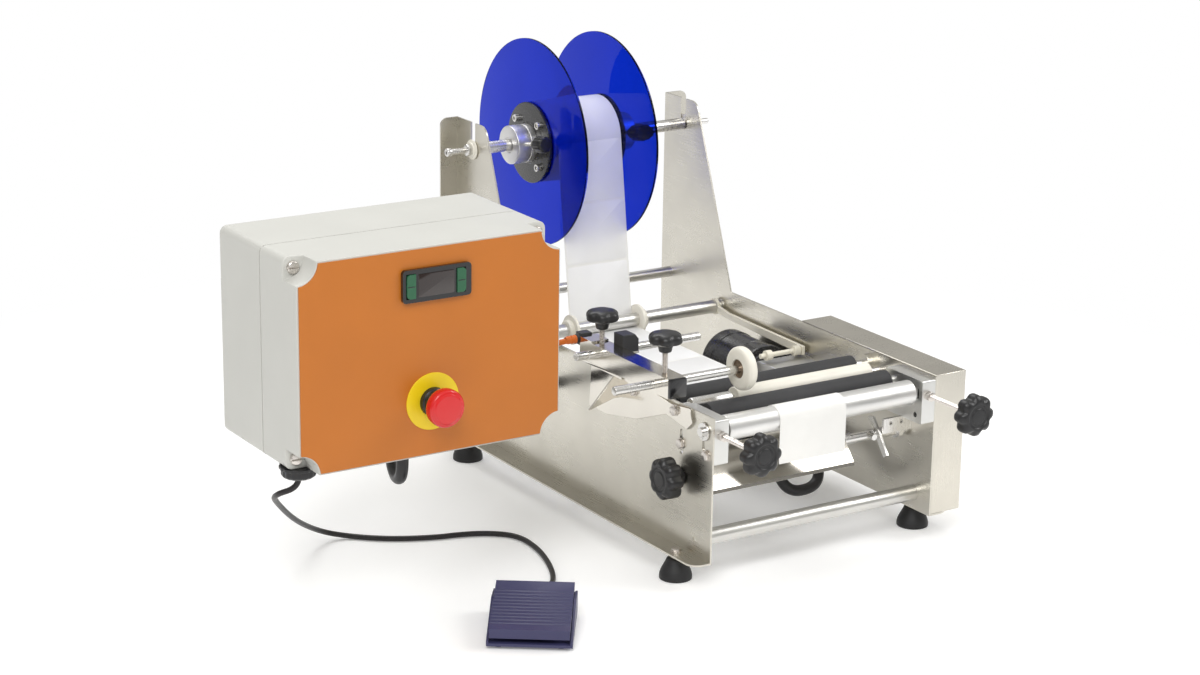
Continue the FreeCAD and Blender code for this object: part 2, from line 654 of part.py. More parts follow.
# ---- label web and its guides ----
WEB_PATH = [
    (S.reel_setback, S.reel_level, S.roll_diameter / 2, 1),
    (S.guide_setback, S.guide_level, S.guide_diameter / 2, -1),
    (S.grip_front, S.grip_level, S.grip_diameter / 2, -1),
    (S.feed_setback, S.feed_level, S.feed_diameter / 2, 1)]
thick = v(S.web_sheet)
path = [(v(y), v(z), v(radius + S.web_gap + S.web_sheet / 2), side) for y, z, radius, side in WEB_PATH]
faces = [strap_edge(path, side * thick / 2, False, v(S.web_end), v(S.web_lead)) for side in (1, -1)]
caps = [
    Part.LineSegment(faces[0][0].Vertexes[0].Point, faces[1][0].Vertexes[0].Point).toShape(),
    Part.LineSegment(faces[0][-1].Vertexes[1].Point, faces[1][-1].Vertexes[1].Point).toShape()]
rim = Part.Wire(Part.sortEdges(faces[0] + faces[1] + caps)[0])
node("label_web", from_shape(Part.Face(rim).extrude(Vector(v(S.web_width), 0, 0)), (S.web_start, 0, 0)))

bore = S.guide_diameter / 2 + S.running
half = S.ring_diameter / 2
for name, x in (("web_ring_left", S.web_start - 1 - S.ring_width),
                ("web_ring_right", S.web_start + S.web_width + 1)):
    node(name, turned((x, S.guide_setback, S.guide_level), "+X", [
        (0, bore), (0, half - 1), (1, half), (S.ring_width - 1, half), (S.ring_width, half - 1),
        (S.ring_width, bore)]))

eye = S.arm_eye / 2
x = INNER - S.arm_bar - 4
bar = prism((x, 0, 0), "YZ_Plane", [
    (S.feeler_setback - 5, S.feeler_level - 5.5), (391, S.feeler_level),
    (S.guide_setback, S.guide_level - 6), (S.guide_setback, S.guide_level + 4), (391, S.feeler_level + 7),
    (S.feeler_setback - 5, S.feeler_level + 5)], S.arm_bar)
node("edge_arm", fuse(
    cut(fuse(bar, rod((x, S.guide_setback, S.guide_level), "+X", S.arm_bar, S.arm_eye)),
        rod((x, S.guide_setback, S.guide_level), "+X", S.arm_bar, S.guide_diameter + S.running * 2)),
    rod((x, S.feeler_setback, S.feeler_level), "-X", S.feeler_length - 3, S.feeler_diameter),
    rod((x - 2, S.feeler_setback, S.feeler_level), "-X", 8, 12),
    rod((x - S.feeler_length + 18, S.feeler_setback, S.feeler_level), "-X", 8, 12)))

tilt = [(60, 110), (27, 72), (26, 68), (28, 68), (61.2, 108.9)]
node("peel_plate", prism((20, 0, 0), "YZ_Plane", tilt, S.peel_width))
bracket = cut(block((INNER - 40, 38, 93), (40, 3, 17)),
              *(rod((x, 38, 104), "+Y", 3, 4.5) for x in (INNER - 30, INNER - 15)))
node("peel_hanger", fuse(
    rod((S.plate, S.hanger_setback, S.hanger_level), "+X", span, S.hanger_diameter),
    hexagon((INNER - 12, S.hanger_setback, S.hanger_level), "+X", 6, 17),
    rod((246, S.hanger_setback, S.hanger_level + 2), "-Y", 15, 7),
    bracket,
    prism((INNER - 44, 0, 0), "YZ_Plane", [(53, 110), (25, 72), (31, 68), (62, 108)], 3)))

# ---- reel ----
journal = S.journal / 2
half = S.axle_diameter / 2
long = S.frame_width - (S.plate + S.clearance * 3) * 2
start = S.plate + S.clearance * 3
node("reel_axle", fuse(
    rod((start, S.reel_setback, S.reel_level), "+X", long, S.axle_diameter),
    rod((-30, S.reel_setback, S.reel_level), "+X", S.frame_width + 64, S.journal),
    hexagon((-S.clearance * 2 - S.bush_rim, S.reel_setback, S.reel_level), "-X", 5, 13),
    rod((-30, S.reel_setback, S.reel_level), "-X", 6, 10)))
bore = journal + S.running
sleeve = S.bush_diameter / 2
rim = S.bush_flange / 2
bush = [(0, bore), (0, rim), (S.bush_rim, rim), (S.bush_rim, sleeve), (S.bush_rim + S.plate, sleeve),
        (S.bush_rim + S.plate, bore)]
node("axle_bushes", group(
    turned((-S.bush_rim - S.clearance, S.reel_setback, S.reel_level), "+X", bush),
    turned((S.frame_width + S.bush_rim + S.clearance, S.reel_setback, S.reel_level), "-X", bush)))

disc = S.disc_diameter / 2
spigot = S.core_bore / 2 - 0.1
left_disc = S.reel_start
right_disc = S.reel_start + S.disc_sheet + S.roll_length
ring = [(0, S.core_bore / 2), (0, disc - 0.5), (0.5, disc), (S.disc_sheet - 0.5, disc),
        (S.disc_sheet, disc - 0.5), (S.disc_sheet, S.core_bore / 2)]
node("reel_discs", group(
    turned((left_disc, S.reel_setback, S.reel_level), "+X", ring),
    turned((right_disc, S.reel_setback, S.reel_level), "+X", ring)))


def hub(x, turn):
    """Return one reel hub: collar, flange with four cap screws, and the spigot that holds the core."""
    collar = S.collar_diameter / 2
    flange = S.hub_diameter / 2
    bore = S.axle_diameter / 2 + S.running
    end = S.collar_length + S.hub_flange
    body = turned((x, S.reel_setback, S.reel_level), turn, [
        (0, bore), (0, collar - 1), (1, collar), (S.collar_length, collar), (S.collar_length, flange),
        (end, flange), (end, spigot), (end + S.hub_spigot, spigot), (end + S.hub_spigot, bore)])
    face = x + S.collar_length if turn == "+X" else x - S.collar_length
    back = {"+X": "-X", "-X": "+X"}[turn]
    screws = [rod(spot, back, 5, 9) for spot in around(
        (face, S.reel_setback, S.reel_level), turn, S.collar_diameter / 2 + 13, 4, 45)]
    socket = rod((x, S.reel_setback, S.reel_level), turn, S.collar_length, S.bolt)
    return body, screws, socket


KNOB_ALONG = Vector(0, -math.cos(math.radians(v(S.collar_knob_tilt))),
                    math.sin(math.radians(v(S.collar_knob_tilt))))
KNOB_TURN = Rotation(Z, KNOB_ALONG)


def radial(x, first, length, diameter):
    """Return a cylinder set radially from the reel's axis, along the collar knobs."""
    at = (x, S.reel_setback + first * KNOB_ALONG.y, S.reel_level + first * KNOB_ALONG.z)
    return rod(at, KNOB_TURN, length, diameter)


hubs = []
for x, turn in ((S.reel_start - S.hub_flange - S.collar_length, "+X"),
                (right_disc + S.disc_sheet + S.hub_flange + S.collar_length, "-X")):
    body, screws, socket = hub(x, turn)
    middle = x + S.collar_length / 2 if turn == "+X" else x - S.collar_length / 2
    hole = radial(middle, S.axle_diameter / 2, S.collar_diameter / 2, S.bolt + S.running * 2)
    hubs.append(cut(fuse(body, *screws), hole))
    side = "left" if turn == "+X" else "right"
    node(f"{side}_collar_knob", fuse(
        radial(middle, S.axle_diameter / 2 + 2, S.collar_diameter / 2 + 14, S.bolt),
        radial(middle, S.collar_diameter / 2 + 22, 18, S.collar_knob),
        radial(middle, S.collar_diameter / 2 + 16, 6, S.collar_knob - 6)))
node("reel_hubs", group(*hubs))
half = S.roll_diameter / 2
node("label_roll", turned((left_disc + S.disc_sheet + S.clearance, S.reel_setback, S.reel_level), "+X", [
    (0, S.core_bore / 2), (0, half), (S.roll_length - S.clearance * 2, half),
    (S.roll_length - S.clearance * 2, S.core_bore / 2)]))

# ---- control box ----
box_left = -S.box_right - S.box_width
box_mid = S.box_front + S.lid_depth
box_top = S.box_level + S.box_height


def box_corners(inset):
    """Return the four corner points of the box's front, drawn in by an inset."""
    return [(x, z) for x in (box_left + inset, -S.box_right - inset)
            for z in (S.box_level + inset, box_top - inset)]


def box_half(front, depth, open_front):
    """Return one half of the box as a shell that keeps a pillar in each corner."""
    outer = prism((box_left, front + depth, S.box_level), "XZ_Plane",
                  rectangle(S.box_width, S.box_height), depth)
    rounded(outer, S.box_corner, lambda edge: along(edge, Y))
    wide, high = S.box_width - S.box_wall * 2, S.box_height - S.box_wall * 2
    side = S.lid_pillar - S.box_wall
    back = front + depth - S.box_wall if open_front else front + depth
    cavity = prism((box_left + S.box_wall, back, S.box_level + S.box_wall), "XZ_Plane", [
        (side, 0), (wide - side, 0), (wide - side, side), (wide, side), (wide, high - side),
        (wide - side, high - side), (wide - side, high), (side, high), (side, high - side),
        (0, high - side), (0, side), (side, side)], depth - S.box_wall)
    return outer, cavity


outer, cavity = box_half(S.box_front, S.lid_depth - S.seam, False)
corner_cuts = []
screws = []
for x, z in box_corners(0):
    corner_cuts.append(rod((x, S.box_front - 1, z), "+Y", S.notch_depth + 1, S.notch * 2))
for x, z in box_corners(S.lid_screw_inset):
    face = S.box_front + S.notch_depth
    corner_cuts.append(rod((x, face, z), "+Y", 24, S.bolt + S.running * 2))
    head = turned((x, face, z), "-Y", [
        (0, 0), (0, S.lid_screw / 2), (3, S.lid_screw / 2), (4, S.lid_screw / 2 - 1), (4, 0)])
    slot = block((x - S.lid_screw / 2, face - 4, z - 0.8), (S.lid_screw, 2, 1.6))
    screws.append(fuse(cut(head, slot), rod((x, face, z), "+Y", 24, S.bolt)))
stop = (-S.stop_left, S.box_front - 2, S.stop_level)
stop_hole = rod(stop, "+Y", 8, S.stop_stem + 4)
GLANDS = [(-S.pedal_gland, 40, S.gland_drop), (-S.hose_gland, 28, S.gland_drop),
          (-S.spare_gland, 28, S.gland_drop / 2)]
gland_setback = S.box_front + S.gland_setback
node("box_lid", cut(outer, cavity, stop_hole, *corner_cuts))
node("lid_screws", group(*screws))

outer, cavity = box_half(box_mid, S.body_depth, True)
lip_wide, lip_high = S.box_width - S.box_wall, S.box_height - S.box_wall
lip = prism((box_left + S.box_wall / 2, box_mid, S.box_level + S.box_wall / 2), "XZ_Plane",
            rectangle(lip_wide, lip_high), S.seam)
lip_cavity = prism((box_left + S.box_wall, box_mid, S.box_level + S.box_wall), "XZ_Plane",
                   rectangle(S.box_width - S.box_wall * 2, S.box_height - S.box_wall * 2), S.seam)
node("box_body", cut(fuse(outer, cut(lip, lip_cavity)), cavity))

panel = block((box_left + 2, S.box_front - S.panel_sheet, S.box_level + 2),
              (S.box_width - 4, S.panel_sheet, S.box_height - 4))
concave = [rod((x, S.box_front - 3, z), "+Y", 4, S.notch * 2 + 2) for x, z in box_corners(0)]
node("front_panel", cut(panel, rod(stop, "+Y", 4, S.stop_stem + 4), *concave))

bezel_front = S.box_front - S.panel_sheet - S.bezel_depth
bezel = prism((-S.bezel_left, S.box_front - S.panel_sheet, S.bezel_level), "XZ_Plane",
              rectangle(S.bezel_width, S.bezel_height), S.bezel_depth)
rounded(bezel, 4, lambda edge: along(edge, Y))
key_level = S.bezel_level + (S.bezel_height - S.key_height) / 2
pin_level = S.bezel_level + S.bezel_height / 2
KEYS = [("key_left", -S.bezel_left + S.left_key_inset, {"XMin": 0}),
        ("key_right", -S.bezel_left + S.bezel_width - S.right_key_inset - S.key_width,
         {"XMax": v(S.key_width)})]
pockets = []
for name, x, outer_side in KEYS:
    pockets.append(block((x - S.clearance, bezel_front - 1, key_level - S.clearance),
                         (S.key_width + S.clearance * 2, 7, S.key_height + S.clearance * 2)))
    pockets.append(rod((x - 2, bezel_front + 2.5, pin_level), "+X", S.key_width + 4,
                       2 + S.running * 2))
    key = prism((x, bezel_front + S.key_depth - S.key_proud, key_level), "XZ_Plane",
                rectangle(S.key_width, S.key_height), S.key_depth)
    rounded(key, S.key_corner, lambda edge: on_edge(edge, Y, **outer_side))
    node(name, fuse(key, rod((x - 1.5, bezel_front + 2.5, pin_level), "+X", S.key_width + 3, 2)))
node("controller_bezel", cut(bezel, *pockets))

collar = S.stop_collar / 2
stem = S.stop_stem / 2
face = S.box_front - S.panel_sheet
collar_depth = face - S.stop_reach - S.stop_head_depth - S.stop_travel - 2
legend = S.stop_legend / 2
node("estop_collar", group(
    turned((-S.stop_left, face, S.stop_level), "-Y", [
        (0, stem + S.running), (0, collar), (collar_depth - 1, collar), (collar_depth, collar - 1),
        (collar_depth, stem + S.running)]),
    turned((-S.stop_left, face, S.stop_level), "-Y", [
        (0, collar + S.running), (0, legend), (S.stop_legend_sheet, legend),
        (S.stop_legend_sheet, collar + S.running)])))
back = S.stop_reach + S.stop_head_depth
pin = S.stop_stem / 4
node("estop_stem", turned((-S.stop_left, back + S.clearance, S.stop_level), "+Y", [
    (-S.stop_head_depth / 2, 0), (-S.stop_head_depth / 2, pin), (0, pin), (0, stem), (25, stem),
    (25, 0)]))
head = S.stop_head / 2
node("estop_button", turned((-S.stop_left, back, S.stop_level), "-Y", [
    (0, pin + S.running), (0, head - 2), (2, head), (10, head), (12, head - 1), (13, head - 3),
    (S.stop_head_depth, head - 6), (S.stop_head_depth, 0),
    (S.stop_head_depth / 2 + 1, 0), (S.stop_head_depth / 2 + 1, pin + S.running)]))

glands = []
for x, width, drop in GLANDS:
    half = as_size(width) / 2
    glands.append(turned((x, gland_setback, S.box_level), "-Z", [
        (0, 0), (0, half), (S.gland_rim, half), (S.gland_rim, half - 2), (drop - 2, half - 2),
        (drop, half - 4), (drop, 0)]))
node("cable_glands", group(*glands))

shelf = prism((0, 0, S.box_level - S.shelf_sheet), "XY_Plane", [
    (-320, 165), (-160, 165), (-160, 240), (0, 325), (0, 392), (-40, 392), (-200, 246), (-320, 246)],
    S.shelf_sheet)
wall = block((-S.arm_sheet, 325, 122), (S.arm_sheet, 67, S.box_level - S.shelf_sheet - 122))
holes = [rod((-S.arm_sheet, as_size(y), as_size(z)), "+X", S.arm_sheet, S.bolt + S.running * 2)
         for y, z in BRACKET_BOLTS]
node("box_bracket", cut(fuse(shelf, wall), *holes))

# ---- arm on the left plate ----
square_left = -S.square_right - S.square
arm_top = S.square_level + S.square
tube_hole = S.square - S.square_wall * 2
ROD_LEVEL = S.square_level + S.square / 2
rod_bore = S.rod_diameter + S.running * 2
STUD_HOLES = [S.wheel_rod_setback, S.sensor_rod_setback]
middle = -S.square_right - S.square / 2
square_tube = cut(
    block((square_left, S.square_front, S.square_level), (S.square, S.square_length, S.square)),
    block((square_left + S.square_wall, S.square_front, S.square_level + S.square_wall),
          (tube_hole, S.square_length, tube_hole)))
sensor_front = S.sensor_rod_setback - S.rod_diameter / 2 - 19.5
sensor_floor = ROD_LEVEL + 3.5
tab = [block((square_left, S.square_front + S.square_length - 24, arm_top), (S.square, 24, 2)),
       block((-S.square_right, sensor_front, sensor_floor - 2), (22, 18.5, 2))]
tools = []
for y in STUD_HOLES:
    tools.append(rod((square_left, y, ROD_LEVEL), "+X", S.square, rod_bore))
    tools.append(rod((middle, y, ROD_LEVEL), "+Z", S.square, S.clamp_stud + S.running * 2))
node("arm_tube", cut(fuse(square_tube, *tab), *tools))
node("arm_cap", block((square_left, S.square_front - S.cap_depth, S.square_level),
                      (S.square, S.cap_depth, S.square)))

plate_top = S.square_level - S.arm_sheet
arm_wall = prism((-S.arm_sheet, 0, 0), "YZ_Plane", [
    (235, plate_top), (240, 112), (203, 112), (142, 124), (85, 146), (45, 140), (35, 150), (40, 164),
    (75, 160), (110, 163), (125, plate_top)], S.arm_sheet)
arm_leg = block((square_left, 125, plate_top), (-square_left, 85, S.arm_sheet))
gusset = prism((0, 185, 0), "XZ_Plane", [(-6, 163.5), (-3, 163.5), (-3, 137), (-8, 137), (-39, 128)], 3)
holes = [rod((-S.arm_sheet, as_size(y), as_size(z)), "+X", S.arm_sheet, S.bolt + S.running * 2)
         for y, z in ARM_BOLTS]
node("arm_bracket", cut(fuse(arm_wall, arm_leg, gusset), *holes))

node("sensor_rod", rod((-S.sensor_rod_left, S.sensor_rod_setback, ROD_LEVEL), "+X",
                       S.sensor_rod_length, S.rod_diameter))
thin = S.rod_diameter / 2
node("wheel_rod", turned((-S.wheel_rod_left, S.wheel_rod_setback, ROD_LEVEL), "+X", [
    (0, 0), (0, thin), (S.wheel_rod_length, thin), (S.wheel_rod_length, 0)]))
bore = thin + S.running
half = S.wheel_diameter / 2
first = S.wheel_rod_length - S.wheel_rod_left - S.wheel_width
recess = S.wheel_recess / 2
node("press_wheel", turned((first, S.wheel_rod_setback, ROD_LEVEL), "+X", [
    (2, bore), (2, recess), (0, recess), (0, half - 3), (1, half - 1), (3, half),
    (S.wheel_width - 3, half), (S.wheel_width - 1, half - 1), (S.wheel_width, half - 3),
    (S.wheel_width, recess), (S.wheel_width - 2, recess), (S.wheel_width - 2, bore)]))


def clamp_knob(name, y, reach):
    """Make one clamp knob on its stud, whose end presses the rod inside the square tube."""
    foot = ROD_LEVEL + S.rod_diameter / 2 + S.clearance
    top = arm_top + reach
    node(name, fuse(
        rod((middle, y, foot), "+Z", top - foot - 4, S.clamp_stud),
        rod((middle, y, top - S.clamp_depth - 9), "+Z", 11, S.clamp_neck),
        lobed_knob((middle, y, top - S.clamp_depth), "+Z", S.clamp_depth, S.clamp_knob, 6)))


clamp_knob("rear_clamp_knob", S.sensor_rod_setback, S.rear_clamp_reach)
clamp_knob("front_clamp_knob", S.wheel_rod_setback, S.front_clamp_reach)
plug_level = arm_top - 2.5
plug_setback = S.square_front + S.square_length
node("label_sensor", group(
    prism((S.clearance - S.square_right, sensor_front + 18.5, sensor_floor), "XZ_Plane", [
        (0, 0), (0, 20), (16, 20), (21, 14), (21, 0)], 18.5),
    fuse(block((square_left + 2, plug_setback, plug_level - 7), (14, 12, 14)),
         hexagon((square_left + 2, plug_setback + 6, plug_level), "-X", 4, 10))))
node("height_lock_knob", fuse(
    lobed_knob((-S.lock_reach + 20, S.lock_setback, S.lock_level), "-X", as_size(20), S.knob_diameter),
    rod((-S.lock_reach + 20, S.lock_setback, S.lock_level), "+X",
        S.lock_reach - 20 + S.plate - S.clearance, S.bolt),
    rod((-S.lock_reach + 20, S.lock_setback, S.lock_level), "+X", S.lock_reach - 20 - 1, 20)))

# ---- cords and hose ----
gland_end = S.box_level - S.gland_drop
node("motor_conduit", cable("motor_conduit", [
    (-S.hose_gland, gland_setback, gland_end), (-311, 110, 121), (-309, 128, 113), (-300, 158, 128),
    (-262, 205, 140), (-170, 270, 134), (-95, 315, 118), (-45, 335, 110), (45, 335, 110), (105, 270, 76),
    (165, 200, 66), (193, 160, 52), (200, 141, 1), (248, 139, 1), (255, 152, 32), (264, 190, 40),
    (266, 226, 42), (266, 226, 66)], S.hose_diameter))
table = v(S.cord_diameter / 2 - S.foot_height)
node("pedal_cord", cable("pedal_cord", [
    (-S.pedal_gland, gland_setback, gland_end), (-429, 110, 131), (-450.7, 125, 122), (-421.3, 180, 91.9),
    (-360.9, 265, 34.7), (-307.6, 325, -6.3), (-270.9, 339.3, table), (-230.6, 301.3, table),
    (-181.2, 278, table), (-147.8, 271.4, table), (-118.2, 257.8, table), (-96.8, 234.4, table),
    (-98.6, 190.4, table), (-111, 146.7, table), (-128, 108, table), (-150, 80, -22),
    (-178.2, 60.2, -14), (-193, 38.9, -14)], S.cord_diameter))
node("sensor_cable", cable("sensor_cable", [
    (-S.box_right, 226, 197), (-126, 226, 197), (-95, 222, 196), (-62, 216, plug_level - 1.5),
    (square_left - 2, plug_setback + 6, plug_level)], S.sensor_cord))

# ---- foot pedal ----
half = S.pedal_width / 2
deep = S.pedal_length / 2
wall = S.pedal_base_sheet
side = [(-deep, wall), (-deep, 9), (S.pin_back, 30), (deep, 26), (deep, wall)]
base = block((-half, -deep, wall), (S.pedal_width, S.pedal_length, wall), local=True)
cheeks = [prism((x, 0, 0), "YZ_Plane", side, wall - 0.5, local=True) for x in (-half, half - wall + 0.5)]
rear = block((-half, deep - wall, wall), (S.pedal_width, wall, 22), local=True)
pads = [rod((x, y, as_size(0)), "+Z", wall, 12, local=True)
        for x in (-half + 12, half - 12) for y in (-deep + 12, deep - 12)]
pin = rod((-half, S.pin_back, S.pin_level), "+X", S.pedal_width, S.pin_diameter, local=True)
TURN = Rotation(Z, -v(S.pedal_turn))
PEDAL = (-S.pedal_left, -S.pedal_front, -S.foot_height)


def pedal_node(name, thing):
    """Set a finished pedal piece, made about the pedal's own centre, on the table."""
    return node(name, place(thing, PEDAL, TURN))


pedal_node("pedal_base", fuse(base, *cheeks, rear, *pads, pin))
half = S.treadle_width / 2
start = -deep + 0.5
end = deep - wall - 1
profile = [(start, S.treadle_front - S.treadle_lip), (start, S.treadle_front - 2)]
slope = (S.treadle_back - S.treadle_front) / (end - start)
count = 11
for index in range(count):
    y = start + 8 + index * S.rib_pitch
    level = S.treadle_front + slope * (y - start)
    profile += [(y, level), (y + 0.8, level - S.rib_depth), (y + 2.2, level - S.rib_depth), (y + 3, level)]
profile += [(end, S.treadle_back), (end, S.treadle_back - 4), (S.pin_back + 6, S.treadle_back - 11),
            (S.pin_back + 6, S.pin_level - 5), (S.pin_back - 6, S.pin_level - 5),
            (S.pin_back - 6, S.treadle_back - 12), (start + 3, S.treadle_front - 6),
            (start + 3, S.treadle_front - S.treadle_lip)]
pedal_node("pedal_treadle", cut(
    prism((-half, 0, 0), "YZ_Plane", profile, S.treadle_width, local=True),
    rod((-half, S.pin_back, S.pin_level), "+X", S.treadle_width, S.pin_diameter + S.running * 2,
        local=True)))

# ---- export ----
doc.recompute()
for thing in doc.Objects:
    if {"Invalid", "Error"} & set(thing.State):
        raise RuntimeError(f"{thing.Name} ({thing.Label}) did not rebuild: {thing.State}")
os.makedirs("parts", exist_ok=True)
for thing in NODES:
    if thing.Shape.isNull() or not thing.Shape.isValid():
        raise RuntimeError(f"{thing.Label} has no valid shape")
    thing.Shape.exportStep(f"parts/{thing.Label}.step")
print(f"{len(NODES)} sub-parts")
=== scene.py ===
"""Looks of the bottle labelling machine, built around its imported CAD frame.

Meshes are drawn in millimetres of the machine's own frame: x = 0 at the left plate's outer face, y = 0 at
the plates' front edge, z = 0 at their underside. Shop.piece carries them into the row frame in metres.
"""

import json
import logging
import math
from collections.abc import Sequence
from dataclasses import dataclass
from enum import Enum

import bmesh
import bpy
from mathutils import Euler, Matrix, Vector

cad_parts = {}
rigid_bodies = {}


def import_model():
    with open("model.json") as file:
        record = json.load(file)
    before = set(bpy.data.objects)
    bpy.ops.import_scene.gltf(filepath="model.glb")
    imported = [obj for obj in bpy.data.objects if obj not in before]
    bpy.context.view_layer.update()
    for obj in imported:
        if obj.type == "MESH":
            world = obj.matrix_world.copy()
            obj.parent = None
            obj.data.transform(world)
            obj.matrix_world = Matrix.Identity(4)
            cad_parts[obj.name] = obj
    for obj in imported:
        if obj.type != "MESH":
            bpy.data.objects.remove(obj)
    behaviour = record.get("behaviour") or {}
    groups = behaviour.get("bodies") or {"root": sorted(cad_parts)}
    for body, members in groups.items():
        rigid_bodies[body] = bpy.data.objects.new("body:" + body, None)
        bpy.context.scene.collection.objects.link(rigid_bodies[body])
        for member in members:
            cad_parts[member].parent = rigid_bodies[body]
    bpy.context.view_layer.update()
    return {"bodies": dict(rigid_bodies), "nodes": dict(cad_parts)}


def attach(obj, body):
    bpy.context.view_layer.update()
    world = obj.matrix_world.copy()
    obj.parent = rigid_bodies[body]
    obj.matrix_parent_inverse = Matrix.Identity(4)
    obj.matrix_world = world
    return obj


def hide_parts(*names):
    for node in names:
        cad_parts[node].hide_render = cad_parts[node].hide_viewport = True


LOG = logging.getLogger("labelling_machine")
Point = tuple[float, float, float]
Corner = tuple[float, float, float]
Colour = tuple[float, float, float]
Feeds = dict[str | int, object]
MM = 0.001
CREASE = math.radians(38.0)
COAT_ROUGHNESS = 0.12
CLEAR_INDEX = 1.2
DATUM = Vector((11.0, -48.0, 28.0))
INTO_ROW = Matrix.Scale(MM, 4) @ Matrix.Translation(DATUM)


class Axis(Enum):
    """A direction that a turned piece is built along."""

    X = (1.0, 0.0, 0.0)
    MINUS_X = (-1.0, 0.0, 0.0)
    Y = (0.0, 1.0, 0.0)
    MINUS_Y = (0.0, -1.0, 0.0)
    Z = (0.0, 0.0, 1.0)
    MINUS_Z = (0.0, 0.0, -1.0)


class Grain(Enum):
    """The kind of surface detail a finish shows, as bump strength and the scale of its fine pores."""

    BRUSHED = (0.5, 2600.0)
    TURNED = (0.5, 1800.0)
    CAST = (0.9, 900.0)
    MOULDED = (0.5, 2200.0)
    RUBBER = (0.8, 1400.0)
    PAPER = (0.4, 3000.0)
    PAINTED = (0.4, 1600.0)
    CLEAR = (0.0, 1.0)


@dataclass(frozen=True)
class Finish:
    """One material of the machine.

    Attributes:
        name: Name of the material.
        slot: The record's material slot that it belongs to; not used.
        colour: Base colour, linear.
        grain: Kind of surface detail.
        roughness: Mean roughness.
        metallic: How metallic the surface is.
        spread: How far the roughness varies about its mean.
        bump: Height of the surface detail, in metres.
        stretch: Scale of the detail along X, Y and Z, per metre.
        coat: Weight of a clear coat.
        transmission: Share of the light that passes through.
        blotch: How far the colour varies about its mean.
    """

    name: str
    slot: str
    colour: Colour
    grain: Grain
    roughness: float
    metallic: float = 0.0
    spread: float = 0.06
    bump: float = 0.00002
    stretch: Point = (700.0, 700.0, 700.0)
    coat: float = 0.0
    transmission: float = 0.0
    blotch: float = 0.05


